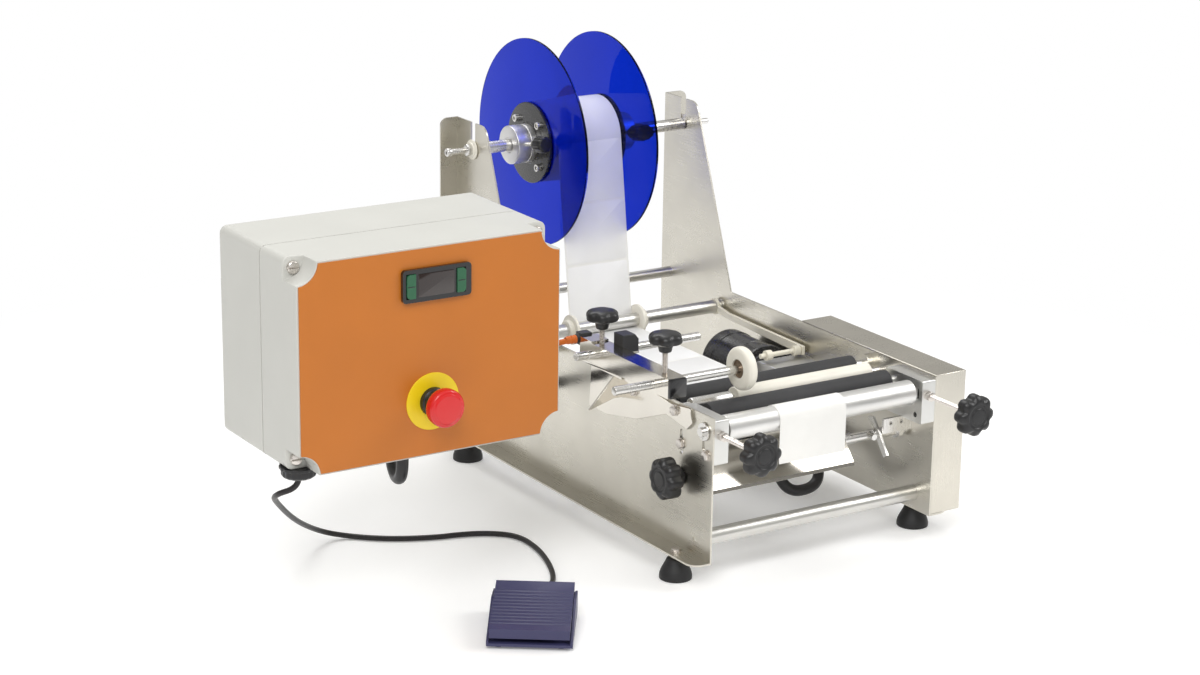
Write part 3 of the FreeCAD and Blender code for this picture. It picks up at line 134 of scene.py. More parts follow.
LENGTHWAYS_X = (25.0, 900.0, 900.0)
LENGTHWAYS_Y = (900.0, 25.0, 900.0)
ROUND_X = (1500.0, 60.0, 60.0)
FINE = (1400.0, 1400.0, 1400.0)
FINISHES = {
    finish.name: finish
    for finish in (
        Finish("plate_steel", "stainless", (0.64, 0.615, 0.55), Grain.BRUSHED, 0.3, 1.0, 0.07,
               0.000004, LENGTHWAYS_Y),
        Finish("cover_steel", "stainless", (0.66, 0.63, 0.56), Grain.BRUSHED, 0.3, 1.0, 0.07,
               0.000004, (900.0, 900.0, 25.0)),
        Finish("tube_steel", "stainless", (0.7, 0.69, 0.66), Grain.BRUSHED, 0.38, 1.0, 0.06,
               0.000004, LENGTHWAYS_X),
        Finish("mirror_steel", "stainless", (0.7, 0.67, 0.61), Grain.BRUSHED, 0.13, 1.0, 0.05,
               0.000002, LENGTHWAYS_Y),
        Finish("machined_aluminium", "aluminium", (0.78, 0.775, 0.76), Grain.TURNED, 0.42, 1.0, 0.07,
               0.000006, ROUND_X),
        Finish("block_aluminium", "aluminium", (0.72, 0.72, 0.7), Grain.BRUSHED, 0.36, 1.0, 0.07,
               0.000006, LENGTHWAYS_Y),
        Finish("cast_aluminium", "aluminium", (0.6, 0.6, 0.59), Grain.CAST, 0.45, 1.0, 0.1,
               0.00006),
        Finish("zinc_plate", "zinc", (0.72, 0.71, 0.69), Grain.TURNED, 0.26, 1.0, 0.08,
               0.000003, ROUND_X),
        Finish("zinc_nut", "zinc", (0.7, 0.66, 0.62), Grain.TURNED, 0.3, 1.0, 0.08, 0.000004),
        Finish("bearing_bronze", "zinc", (0.3, 0.23, 0.17), Grain.TURNED, 0.34, 1.0, 0.08, 0.000004),
        Finish("cream_bar", "cream_steel", (0.78, 0.74, 0.62), Grain.PAINTED, 0.35),
        Finish("black_enamel", "black_metal", (0.013, 0.013, 0.015), Grain.PAINTED, 0.27, 0.0, 0.08,
               0.00002, (260.0, 260.0, 260.0), 0.35),
        Finish("knob_plastic", "black_plastic", (0.013, 0.013, 0.014), Grain.MOULDED, 0.36, 0.0,
               0.08, 0.00003, FINE),
        Finish("sensor_plastic", "black_plastic", (0.03, 0.03, 0.033), Grain.MOULDED, 0.42, 0.0,
               0.08, 0.00002, FINE),
        Finish("gloss_black", "black_plastic", (0.008, 0.008, 0.009), Grain.MOULDED, 0.16, 0.0,
               0.04, 0.000004, FINE, 0.4),
        Finish("window_tint", "black_plastic", (0.02, 0.011, 0.009), Grain.PAINTED, 0.07, 0.0,
               0.02, 0.0, FINE, 0.6),
        Finish("hose_plastic", "black_plastic", (0.016, 0.015, 0.016), Grain.MOULDED, 0.38),
        Finish("legend_yellow", "orange_panel", (0.84, 0.62, 0.008), Grain.PAINTED, 0.38, 0.0,
               0.05, 0.000008, FINE),
        Finish("foot_rubber", "black_rubber", (0.014, 0.014, 0.015), Grain.RUBBER, 0.55),
        Finish("cord_rubber", "black_rubber", (0.014, 0.011, 0.012), Grain.RUBBER, 0.4),
        Finish("roller_rubber", "roller_rubber", (0.03, 0.03, 0.032), Grain.RUBBER, 0.66, 0.0, 0.1,
               0.00005, FINE, blotch=0.2),
        Finish("white_nylon", "nylon", (0.82, 0.79, 0.7), Grain.MOULDED, 0.36, 0.0, 0.06,
               0.00002, FINE),
        Finish("roll_paper", "paper", (0.84, 0.84, 0.86), Grain.PAPER, 0.5),
        Finish("web_paper", "paper", (0.87, 0.865, 0.84), Grain.PAPER, 0.34),
        Finish("label_paper", "paper", (0.9, 0.9, 0.9), Grain.PAPER, 0.42, coat=0.2),
        Finish("disc_blue", "blue_disc", (0.003, 0.024, 0.5), Grain.CLEAR, 0.02, 0.0, 0.0,
               0.0, (1.0, 1.0, 1.0), 0.0, 1.0),
        Finish("box_plastic", "box_grey", (0.6, 0.6, 0.565), Grain.MOULDED, 0.42, 0.0, 0.05,
               0.00003, FINE, blotch=0.02),
        Finish("panel_orange", "orange_panel", (0.52, 0.155, 0.012), Grain.PAINTED, 0.4, 0.0,
               0.05, 0.000008, FINE, blotch=0.03),
        Finish("key_green", "green_key", (0.02, 0.115, 0.052), Grain.MOULDED, 0.34, 0.0, 0.05,
               0.00001, FINE),
        Finish("stop_red", "red_plastic", (0.66, 0.012, 0.013), Grain.MOULDED, 0.24, 0.0, 0.05,
               0.00001, FINE, 0.3),
        Finish("cable_orange", "orange_cable", (0.75, 0.17, 0.02), Grain.RUBBER, 0.4),
        Finish("pedal_plastic", "pedal_blue", (0.045, 0.045, 0.12), Grain.MOULDED, 0.42, 0.0,
               0.07, 0.00004, FINE),
    )
}
PLAIN_NODES = {
    "estop_stem": "knob_plastic", "drive_shaft": "zinc_plate", "drive_belt": "foot_rubber",
    "label_web": "web_paper", "left_side_plate": "plate_steel", "right_side_plate": "plate_steel",
}
SOFT_NODES = {
    "drive_cover": ("cover_steel", 1.2), "roller_blocks": ("block_aluminium", 0.6),
    "roller_carriage": ("zinc_plate", 0.3), "worm_gearbox": ("cast_aluminium", 1.0),
    "peel_plate": ("mirror_steel", 0.2), "peel_hanger": ("zinc_plate", 0.3),
    "edge_arm": ("cream_bar", 0.5), "box_lid": ("box_plastic", 1.6), "box_body": ("box_plastic", 1.6),
    "lid_screws": ("zinc_nut", 0.35), "front_panel": ("panel_orange", 0.25),
    "controller_bezel": ("gloss_black", 0.7), "key_left": ("key_green", 0.6),
    "key_right": ("key_green", 0.6), "box_bracket": ("plate_steel", 0.3),
    "arm_tube": ("mirror_steel", 0.9), "arm_bracket": ("mirror_steel", 0.4),
    "label_sensor": ("sensor_plastic", 0.8), "pedal_base": ("pedal_plastic", 0.7),
    "pedal_treadle": ("pedal_plastic", 0.35),
}


class Graph:
    """The nodes and links of one material or of the world."""

    def __init__(self, tree: bpy.types.NodeTree) -> None:
        self.nodes = tree.nodes
        self.links = tree.links

    def feed(self, node: bpy.types.Node, feeds: Feeds) -> None:
        """Fill some inputs of a node.

        Args:
            node: The node.
            feeds: For each input, its value or the socket that it comes from.
        """
        for name, value in feeds.items():
            if isinstance(value, bpy.types.NodeSocket):
                self.links.new(value, node.inputs[name])
            else:
                node.inputs[name].default_value = value

    def add(self, kind: str, feeds: Feeds, operation: str = "") -> bpy.types.NodeSocket:
        """Add a node and fill some of its inputs.

        Args:
            kind: Its type, without the leading "ShaderNode".
            feeds: For each input, its value or the socket that it comes from.
            operation: What it does, for a math node.

        Returns:
            Its first output.
        """
        node = self.nodes.new("ShaderNode" + kind)
        if operation:
            node.operation = operation
        self.feed(node, feeds)
        return node.outputs[0]


class Paint:
    """Makes each finish's node material once and hands it out."""

    def __init__(self) -> None:
        self._made: dict[str, bpy.types.Material] = {}

    def get(self, name: str) -> bpy.types.Material:
        """Return the material of a finish.

        Args:
            name: Name of the finish.

        Returns:
            The material, made on first use.
        """
        if name not in self._made:
            self._made[name] = self._build(FINISHES[name])
        return self._made[name]

    def _build(self, finish: Finish) -> bpy.types.Material:
        """Build the node tree of one finish.

        Args:
            finish: The finish to build.

        Returns:
            The new material.
        """
        material = bpy.data.materials.new(finish.name)
        material.use_nodes = True
        graph = Graph(material.node_tree)
        shader = graph.nodes["Principled BSDF"]
        graph.feed(shader, {
            "Metallic": finish.metallic, "Coat Weight": finish.coat,
            "Coat Roughness": COAT_ROUGHNESS, "Transmission Weight": finish.transmission,
            "Roughness": finish.roughness, "Base Color": (*finish.colour, 1.0)})
        if finish.grain is Grain.CLEAR:
            graph.feed(shader, {"IOR": CLEAR_INDEX})
        else:
            self._relief(graph, shader, finish)
        self._blotches(graph, shader, finish)
        return material

    @staticmethod
    def _noise(graph: Graph, stretch: Point, detail: float) -> bpy.types.NodeSocket:
        """Add a noise pattern on Object coordinates.

        Args:
            graph: Tree of the material.
            stretch: Scale of the pattern along each axis, per metre.
            detail: Octaves of the noise.

        Returns:
            The pattern's value.
        """
        place = graph.add("Mapping", {
            "Vector": graph.nodes.new("ShaderNodeTexCoord").outputs["Object"], "Scale": stretch})
        return graph.add("TexNoise", {"Vector": place, "Scale": 1.0, "Detail": detail})

    def _relief(self, graph: Graph, shader: bpy.types.Node, finish: Finish) -> None:
        """Add the grain, its pores and the smudges that handling leaves.

        Args:
            graph: Tree of the material.
            shader: The shader that takes roughness and normal.
            finish: The finish being built.
        """
        strength, pores = finish.grain.value
        grain = self._noise(graph, finish.stretch, 3.0)
        pore = self._noise(graph, (pores, pores, pores), 1.0)
        smudge = self._noise(graph, (22.0, 22.0, 22.0), 3.0)
        rough = graph.add("MapRange", {
            "Value": graph.add("Math", {0: grain, 1: smudge}, "ADD"),
            "From Min": 0.6, "From Max": 1.4,
            "To Min": max(0.02, finish.roughness - finish.spread),
            "To Max": finish.roughness + finish.spread})
        relief = graph.add("Bump", {
            "Strength": strength, "Distance": finish.bump,
            "Height": graph.add("Math", {0: pore, 1: 0.4, 2: grain}, "MULTIPLY_ADD")})
        graph.feed(shader, {"Roughness": rough, "Normal": relief})

    def _blotches(self, graph: Graph, shader: bpy.types.Node, finish: Finish) -> None:
        """Add a slow variation of colour over the surface.

        Args:
            graph: Tree of the material.
            shader: The shader that takes the colour.
            finish: The finish being built.
        """
        ramp = graph.add("ValToRGB", {"Fac": self._noise(graph, (14.0, 14.0, 14.0), 4.0)})
        for element, place, sign in zip(ramp.node.color_ramp.elements, (0.3, 0.7), (-1.0, 1.0)):
            element.position = place
            element.color = (*(min(1.0, part * (1.0 + sign * finish.blotch))
                               for part in finish.colour), 1.0)
        graph.feed(shader, {"Base Color": ramp})


def eased(corners: Sequence[Corner], steps: int = 3) -> list[Vector]:
    """Round the corners of a profile.

    Args:
        corners: Distance along the axis, radius and reach of the rounding, for each corner.
        steps: Segments of each rounding.

    Returns:
        The points of the rounded profile, as distance along the axis and radius.
    """
    spots = [Vector(corner[:2]) for corner in corners]
    points = [spots[0]]
    for before, here, after, corner in zip(spots, spots[1:], spots[2:], corners[1:]):
        into, out = before - here, after - here
        reach = min(corner[2], into.length * 0.49, out.length * 0.49)
        if reach <= 0.0:
            points.append(here)
            continue
        start, end = here + into.normalized() * reach, here + out.normalized() * reach
        for step in range(steps + 1):
            share = step / steps
            points.append(start.lerp(here, share).lerp(here.lerp(end, share), share))
    return points + [spots[-1]]


def facing(spot: Point, axis: Axis | Vector) -> Matrix:
    """Return the matrix that stands a piece at a spot.

    Args:
        spot: Where the piece's own origin goes, in millimetres.
        axis: The direction that its own Z axis takes.

    Returns:
        The matrix.
    """
    way = Vector(axis.value) if isinstance(axis, Axis) else axis
    return Matrix.Translation(Vector(spot)) @ way.to_track_quat("Z", "Y").to_matrix().to_4x4()


class Form:
    """A mesh put together from operators, in millimetres of the machine's own frame."""

    def __init__(self) -> None:
        self.mesh = bmesh.new()

    def add(self, part: bmesh.types.BMesh, place: Matrix) -> "Form":
        """Join a finished part to the form.

        Args:
            part: The part, which is freed.
            place: Where it goes.

        Returns:
            The form.
        """
        bmesh.ops.recalc_face_normals(part, faces=part.faces)
        bmesh.ops.transform(part, matrix=place, verts=part.verts)
        data = bpy.data.meshes.new("part")
        part.to_mesh(data)
        part.free()
        self.mesh.from_mesh(data)
        bpy.data.meshes.remove(data)
        return self

    def lathe(self, spot: Point, axis: Axis | Vector, corners: Sequence[Corner], sides: int = 48,
              lobes: int = 0, dip: float = 0.0) -> "Form":
        """Add a turned part. A profile that starts off the axis is closed into a ring.

        Args:
            spot: Where the profile starts, in millimetres.
            axis: Direction of the turning axis.
            corners: Distance along the axis, radius and rounding of each corner.
            sides: Number of segments round the axis.
            lobes: Number of lobes round the rim, or none.
            dip: Depth between the lobes, as a share of the radius.

        Returns:
            The form.
        """
        part = bmesh.new()
        ring = [part.verts.new((point.y, 0.0, point.x)) for point in eased(corners)]
        pairs = list(zip(ring, ring[1:]))
        if corners[0][1] > 0.0:
            pairs.append((ring[-1], ring[0]))
        edges = [part.edges.new(pair) for pair in pairs]
        bmesh.ops.spin(part, geom=ring + edges, cent=(0, 0, 0), axis=(0, 0, 1),
                       angle=math.tau, steps=sides, use_merge=True)
        bmesh.ops.remove_doubles(part, verts=part.verts, dist=0.001)
        if lobes:
            rim = max(vert.co.xy.length for vert in part.verts)
            for vert in part.verts:
                share = min(1.0, max(0.0, vert.co.xy.length / rim - 0.6) / 0.25)
                wave = 0.5 - 0.5 * math.cos(lobes * math.atan2(vert.co.y, vert.co.x))
                vert.co.xy = vert.co.xy * (1.0 - dip * wave ** 1.6 * share)
        return self.add(part, facing(spot, axis))

    def rod(self, spot: Point, axis: Axis | Vector, length: float, diameter: float,
            ease: float = 0.5) -> "Form":
        """Add a round bar with eased ends.

        Args:
            spot: Centre of its first end.
            axis: Its direction.
            length: Its length.
            diameter: Its diameter.
            ease: Rounding of its ends.

        Returns:
            The form.
        """
        half = diameter / 2
        return self.lathe(spot, axis, [(0, 0, 0), (0, half, ease), (length, half, ease),
                                       (length, 0, 0)], 40)

    def thread(self, spot: Point, axis: Axis | Vector, length: float, diameter: float,
               pitch: float = 1.25) -> "Form":
        """Add a threaded stud, its thread drawn as rings.

        Args:
            spot: Centre of its first end.
            axis: Its direction.
            length: Its length.
            diameter: Its outer diameter.
            pitch: Distance between crests.

        Returns:
            The form.
        """
        crest, root = diameter / 2, diameter / 2 - 0.45 * pitch
        corners = [(0, 0, 0), (0, root, 0)]
        for turn in range(int(length / pitch)):
            corners += [((turn + 0.35) * pitch, crest, 0), ((turn + 0.5) * pitch, crest, 0),
                        ((turn + 0.85) * pitch, root, 0)]
        return self.lathe(spot, axis, corners + [(length, root, 0), (length, 0, 0)], 28)

    def hexagon(self, spot: Point, axis: Axis | Vector, length: float, width: float) -> "Form":
        """Add a hexagonal nut or head with eased rims.

        Args:
            spot: Centre of its first face.
            axis: Its direction.
            length: Its height.
            width: Its width across flats.

        Returns:
            The form.
        """
        part = bmesh.new()
        radius = width / math.sqrt(3)
        bmesh.ops.create_cone(part, cap_ends=True, segments=6, radius1=radius, radius2=radius,
                              depth=length)
        bmesh.ops.translate(part, vec=(0, 0, length / 2), verts=part.verts)
        bmesh.ops.bevel(part, geom=part.edges[:], offset=0.45, segments=2, profile=0.5,
                        affect="EDGES", material=-1)
        return self.add(part, facing(spot, axis))

    def washer(self, spot: Point, axis: Axis | Vector, sheet: float, outer: float,
               inner: float) -> "Form":
        """Add a flat ring.

        Args:
            spot: Centre of its first face.
            axis: Its direction.
            sheet: Its thickness.
            outer: Its outer diameter.
            inner: Diameter of its hole.

        Returns:
            The form.
        """
        wide, bore, ease = outer / 2, inner / 2, sheet * 0.3
        return self.lathe(spot, axis, [(0, bore, 0), (0, wide, ease), (sheet, wide, ease),
                                       (sheet, bore, 0)])

    def bolt(self, spot: Point, axis: Axis, head: float = 4.0, width: float = 10.0) -> "Form":
        """Add a hexagonal bolt head on its washer.

        Args:
            spot: Centre of the face that it bears on.
            axis: Direction that the head points.
            head: Height over the face, washer included.
            width: Width across flats.

        Returns:
            The form.
        """
        self.washer(spot, axis, 1.0, width * 1.25, 6.0)
        top = Vector(spot) + Vector(axis.value)
        return self.hexagon(tuple(top), axis, head - 1.0, width)

    def tablet(self, low: Point, high: Point, ease: float = 0.3, corner: float = 0.0,
               place: Matrix | None = None) -> "Form":
        """Add a block with eased edges, its edges along Y rounded more where a corner is given.

        Args:
            low: Its lowest corner.
            high: Its highest corner.
            ease: Rounding of every edge.
            corner: Rounding of the edges along Y.
            place: Where its own frame stands, or nothing.

        Returns:
            The form.
        """
        part = bmesh.new()
        bmesh.ops.create_cube(part, size=1.0)
        first, last = Vector(low), Vector(high)
        bmesh.ops.scale(part, vec=last - first, verts=part.verts)
        bmesh.ops.translate(part, vec=(first + last) / 2, verts=part.verts)
        if corner:
            upright = [edge for edge in part.edges
                       if abs((edge.verts[0].co - edge.verts[1].co).normalized().y) > 0.99]
            bmesh.ops.bevel(part, geom=upright, offset=corner, segments=6, profile=0.5,
                            affect="EDGES", material=-1)
        sharp = [edge for edge in part.edges if edge.calc_face_angle(0.0) > math.radians(50)]
        bmesh.ops.bevel(part, geom=sharp, offset=ease, segments=2, profile=0.5, affect="EDGES",
                        material=-1)
        return self.add(part, place or Matrix.Identity(4))


@dataclass
class Shop:
    """What every sub-assembly builds with.

    Attributes:
        paint: Source of materials.
        nodes: CAD objects by node name.
        bodies: Body objects by name.
    """

    paint: Paint
    nodes: dict[str, bpy.types.Object]
    bodies: dict[str, bpy.types.Object]

    def body_of(self, node: str) -> str:
        """Return the name of the body that a CAD node rides on."""
        return next(name for name, body in self.bodies.items() if body == self.nodes[node].parent)

    def dress(self, node: str, finish: str) -> None:
        """Give a CAD node a finish in all of its material slots.

        Args:
            node: Name of the CAD node.
            finish: Name of the finish.
        """
        target = self.nodes[node]
        material = self.paint.get(finish)
        for slot in target.material_slots:
            slot.material = material
        if not target.material_slots:
            target.data.materials.append(material)

    def link(self, name: str, data: bpy.types.Mesh, finish: str, node: str,
             stands: bool) -> bpy.types.Object:
        """Make an object of a mesh, give it its finish and let it ride with a CAD node.

        Args:
            name: Name of the piece.
            data: Its mesh.
            finish: Name of its finish.
            node: CAD node that it belongs to.
            stands: Whether it stands in for that node.

        Returns:
            The new object.
        """
        data.materials.clear()
        data.materials.append(self.paint.get(finish))
        data.shade_smooth()
        data.set_sharp_from_angle(angle=CREASE)
        thing = bpy.data.objects.new(name, data)
        bpy.context.scene.collection.objects.link(thing)
        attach(thing, self.body_of(node))
        if stands:
            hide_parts(node)
        LOG.info("piece %s", name)
        return thing

    def piece(self, name: str, form: Form, finish: str, node: str,
              stands: bool = True) -> bpy.types.Object:
        """Turn a form into a piece of the machine.

        Args:
            name: Name of the piece.
            form: Its form, whose mesh is freed.
            finish: Name of its finish.
            node: CAD node that it belongs to.
            stands: Whether it stands in for that node.

        Returns:
            The new object.
        """
        data = bpy.data.meshes.new(name)
        bmesh.ops.transform(form.mesh, matrix=INTO_ROW, verts=form.mesh.verts)
        form.mesh.to_mesh(data)
        form.mesh.free()
        return self.link(name, data, finish, node, stands)

    def soften(self, node: str, finish: str, width: float) -> bpy.types.Object:
        """Stand in a merged copy of a CAD node whose edges are eased.

        Args:
            node: Name of the CAD node.
            finish: Name of the finish.
            width: Width of the eased edges, in millimetres.

        Returns:
            The new object.
        """
        mesh = bmesh.new()
        mesh.from_mesh(self.nodes[node].data)
        bmesh.ops.remove_doubles(mesh, verts=mesh.verts, dist=0.000005)
        bmesh.ops.dissolve_limit(mesh, angle_limit=math.radians(0.5), verts=mesh.verts,
                                 edges=mesh.edges)
        data = bpy.data.meshes.new(f"{node}_eased")
        mesh.to_mesh(data)
        mesh.free()
        thing = self.link(f"{node}_eased", data, finish, node, True)
        bevel = thing.modifiers.new("eased", "BEVEL")
        bevel.width = width * MM
        bevel.segments = 2
        bevel.limit_method = "ANGLE"
        bevel.angle_limit = math.radians(40.0)
        return thing


@dataclass
class Reel:
    """Discs, hubs, label roll, axle, bushes and the two collar knobs."""

    shop: Shop
    centre: tuple[float, float] = (507.5, 352.5)
    faces: tuple[float, float] = (80.0, 180.0)
    disc: float = 124.0
    sheet: float = 3.0
    core: float = 38.0
    roll: float = 48.0
    tilt: float = 10.0

    def build(self) -> None:
        """Make every piece of the reel."""
        self._discs()
        for side, face, axis in (("left", self.faces[0], Axis.MINUS_X),
                                 ("right", self.faces[1], Axis.X)):
            self._hub(side, face, axis)
            self._collar_knob(side, face + 17.5 * axis.value[0])
        left, right = self.faces[0] + self.sheet + 0.3, self.faces[1] - self.sheet - 0.3
        self.shop.piece("paper_roll", Form().lathe(
            (left, *self.centre), Axis.X, [
                (0, self.core, 0), (0, self.roll, 0.5), (right - left, self.roll, 0.5),
                (right - left, self.core, 0)], 96), "roll_paper", "label_roll")
        self._axle()

    def _discs(self) -> None:
        """Make the two clear discs."""
        form = Form()
        for start in (self.faces[0], self.faces[1] - self.sheet):
            form.lathe((start, *self.centre), Axis.X, [
                (0, self.core, 0), (0, self.disc, 0.5), (self.sheet, self.disc, 0.5),
                (self.sheet, self.core, 0)], 128)
        self.shop.piece("clear_discs", form, "disc_blue", "reel_discs")

    def _hub(self, side: str, face: float, axis: Axis) -> None:
        """Make one hub: black flange with spigot, machined collar and four socket screws.

        Args:
            side: Name of the side.
            face: Level of the disc's outer face along X.
            axis: Direction from the disc outwards.
        """
        bore = 7.3
        spot = (face, *self.centre)
        self.shop.piece(f"{side}_hub_flange", Form().lathe(spot, axis, [
            (-12, bore, 0), (-12, self.core - 0.1, 1.0), (0, self.core - 0.1, 0), (0, 48.5, 0.8),
            (4, 48.5, 0.8), (4, 25.0, 0.5), (5.0, 24.5, 0.4), (5.0, bore, 0)], 72),
            "black_enamel", "reel_hubs", side == "left")
        self.shop.piece(f"{side}_hub_collar", Form().lathe(spot, axis, [
            (5.0, bore, 0), (5.0, 23, 0.6), (12, 23, 0.2), (12.4, 22.5, 0.2), (13.0, 22.5, 0.2),
            (13.4, 23, 0.2), (31, 23, 1.2), (31, 9.5, 0.5), (29.8, 8.8, 0.4), (29.8, bore, 0)], 72),
            "machined_aluminium", "reel_hubs", False)
        screws = Form()
        for number in range(4):
            angle = math.radians(45 + 90 * number)
            screws.lathe((face + 4 * axis.value[0], self.centre[0] + 36 * math.cos(angle),
                          self.centre[1] + 36 * math.sin(angle)), axis, [
                              (0, 0, 0), (0, 4.5, 0), (5, 4.5, 0.7), (5, 2.5, 0.2), (2.4, 2.4, 0),
                              (2.4, 0, 0)], 24)
        self.shop.piece(f"{side}_hub_screws", screws, "zinc_plate", "reel_hubs", False)

    def _collar_knob(self, side: str, x: float) -> None:
        """Make the small knob that locks one hub on the axle.

        Args:
            side: Name of the side.
            x: Place along the axle.
        """
        turn = math.radians(self.tilt)
        way = Vector((0.0, -math.cos(turn), math.sin(turn)))
        spot = tuple(Vector((x, *self.centre)) + way * 39)
        node = f"{side}_collar_knob"
        self.shop.piece(f"{side}_collar_head", Form().lathe(spot, way, [
            (0, 0, 0), (0, 6.5, 0.8), (5, 7, 0.5), (6, 9, 1), (8, 10, 1.2), (21, 10, 1.8),
            (24, 8, 1.2), (24, 0, 0)], 96, 12, 0.08), "knob_plastic", node)
        stud = tuple(Vector((x, *self.centre)) + way * 9.3)
        self.shop.piece(f"{side}_collar_stud", Form().rod(stud, way, 30, 6), "zinc_plate", node,
                        False)

    def _axle(self) -> None:
        """Make the axle, its nut and end screw, and the two nylon bushes."""
        form = Form().rod((2.9, *self.centre), Axis.X, 294.2, 14.5, 0.8)
        form.rod((-30, *self.centre), Axis.X, 32.9, 6.9, 0.3)
        form.rod((297.1, *self.centre), Axis.X, 36.9, 6.9, 0.8)
        form.hexagon((-4.6, *self.centre), Axis.MINUS_X, 5, 13)
        form.lathe((-30, *self.centre), Axis.MINUS_X, [
            (0, 0, 0), (0, 5, 0.6), (6, 5, 1.5), (6, 2.2, 0.2), (3.5, 2.1, 0), (3.5, 0, 0)], 32)
        self.shop.piece("turned_axle", form, "zinc_plate", "reel_axle")
        bushes = Form()
        for start, axis in ((-4.3, Axis.X), (304.3, Axis.MINUS_X)):
            bushes.lathe((start, *self.centre), axis, [
                (0, 3.55, 0), (0, 8.4, 0.8), (1.7, 8.8, 0.3), (2.0, 12, 0.8), (4, 12, 0.8),
                (4, 5, 0.2), (6, 5, 0.4), (6, 3.55, 0)])
        self.shop.piece("spool_bushes", bushes, "white_nylon", "axle_bushes")


@dataclass
class Rollers:
    """Front roller, rubber rollers, white roller and their knobs and shafts."""

    shop: Shop
    grip: tuple[float, ...] = (56.0, 120.0)
    level: float = 148.0
    screw_level: float = 143.5
    knobs: tuple[tuple[str, float, float], ...] = (("left", 11.0, 54.0), ("right", 289.0, 61.0))

    def build(self) -> None:
        """Make every roller and adjusting knob."""
        self.shop.piece("feed_roller_tube", Form().lathe((24, 16, 145.5), Axis.X, [
            (1.5, 4.05, 0), (1.5, 10.5, 0.3), (0, 11.3, 0.3), (0, 14, 0.9), (250, 14, 0.9),
            (250, 11.3, 0.3), (248.5, 10.5, 0.3), (248.5, 4.05, 0)], 96),
            "machined_aluminium", "front_roller")
        for name, setback in zip(("front", "rear"), self.grip):
            node = f"rubber_roller_{name}"
            self.shop.piece(f"{name}_grip_rubber", Form().lathe((30, setback, self.level), Axis.X, [
                (0, 5.0, 0), (0, 12.5, 1.2), (243, 12.5, 1.2), (243, 5.0, 0)], 72),
                "roller_rubber", node)
            shaft = Form().rod((2.3, setback, self.level), Axis.X, 317.7, 10, 0.6)
            shaft.washer((308, setback, self.level), Axis.X, 10, 26, 10)
            self.shop.piece(f"{name}_grip_shaft", shaft, "zinc_plate", node, False)
        self.shop.piece("idler_sleeve", Form().lathe((87, 88, 149.5), Axis.X, [
            (0, 4.05, 0), (0, 11.5, 1.4), (184, 11.5, 1.4), (184, 4.05, 0)], 72),
            "white_nylon", "white_roller")
        axle = Form().rod((2, 88, 149.5), Axis.X, 296, 8, 0.2)
        axle.washer((30, 88, 149.5), Axis.X, 53, 16, 8)
        self.shop.piece("idler_axle", axle, "zinc_plate", "white_roller_axle")
        for side, x, reach in self.knobs:
            self._adjuster(side, x, reach)

    def _adjuster(self, side: str, x: float, reach: float) -> None:
        """Make one adjusting knob with its screw.

        Args:
            side: Name of the side.
            x: Place across the machine.
            reach: How far the knob's hub stands off the plates' front edge.
        """
        node = f"{side}_adjust_knob"
        self.shop.piece(f"{side}_adjust_head", lobed_head(
            (x, -reach, self.screw_level), Axis.MINUS_Y, 8, 26), "knob_plastic", node)
        self.shop.piece(f"{side}_adjust_screw", Form().thread(
            (x, -reach - 2, self.screw_level), Axis.Y, reach + 10.6, 6), "zinc_nut", node, False)


def lobed_head(spot: Point, axis: Axis, hub: float, depth: float) -> Form:
    """Return the head of an eight-lobed hand knob, with a ring sunk in its face.

    Args:
        spot: Centre of the hub's end.
        axis: Direction from the hub to the face.
        hub: Length of the hub.
        depth: Length of hub and head together.

    Returns:
        The form.
    """
    return Form().lathe(spot, axis, [
        (0, 0, 0), (0, 9.5, 1), (hub - 1, 11.2, 1.5), (hub, 19, 1.5), (hub + 2.5, 23.5, 3),
        (depth - 4, 23.5, 4), (depth, 18, 2.5), (depth, 13.6, 0.6), (depth - 1.5, 12.6, 0.5),
        (depth - 1.5, 9.4, 0.5), (depth - 0.4, 8.4, 0.6), (depth - 0.4, 0, 0)], 128, 8, 0.15)


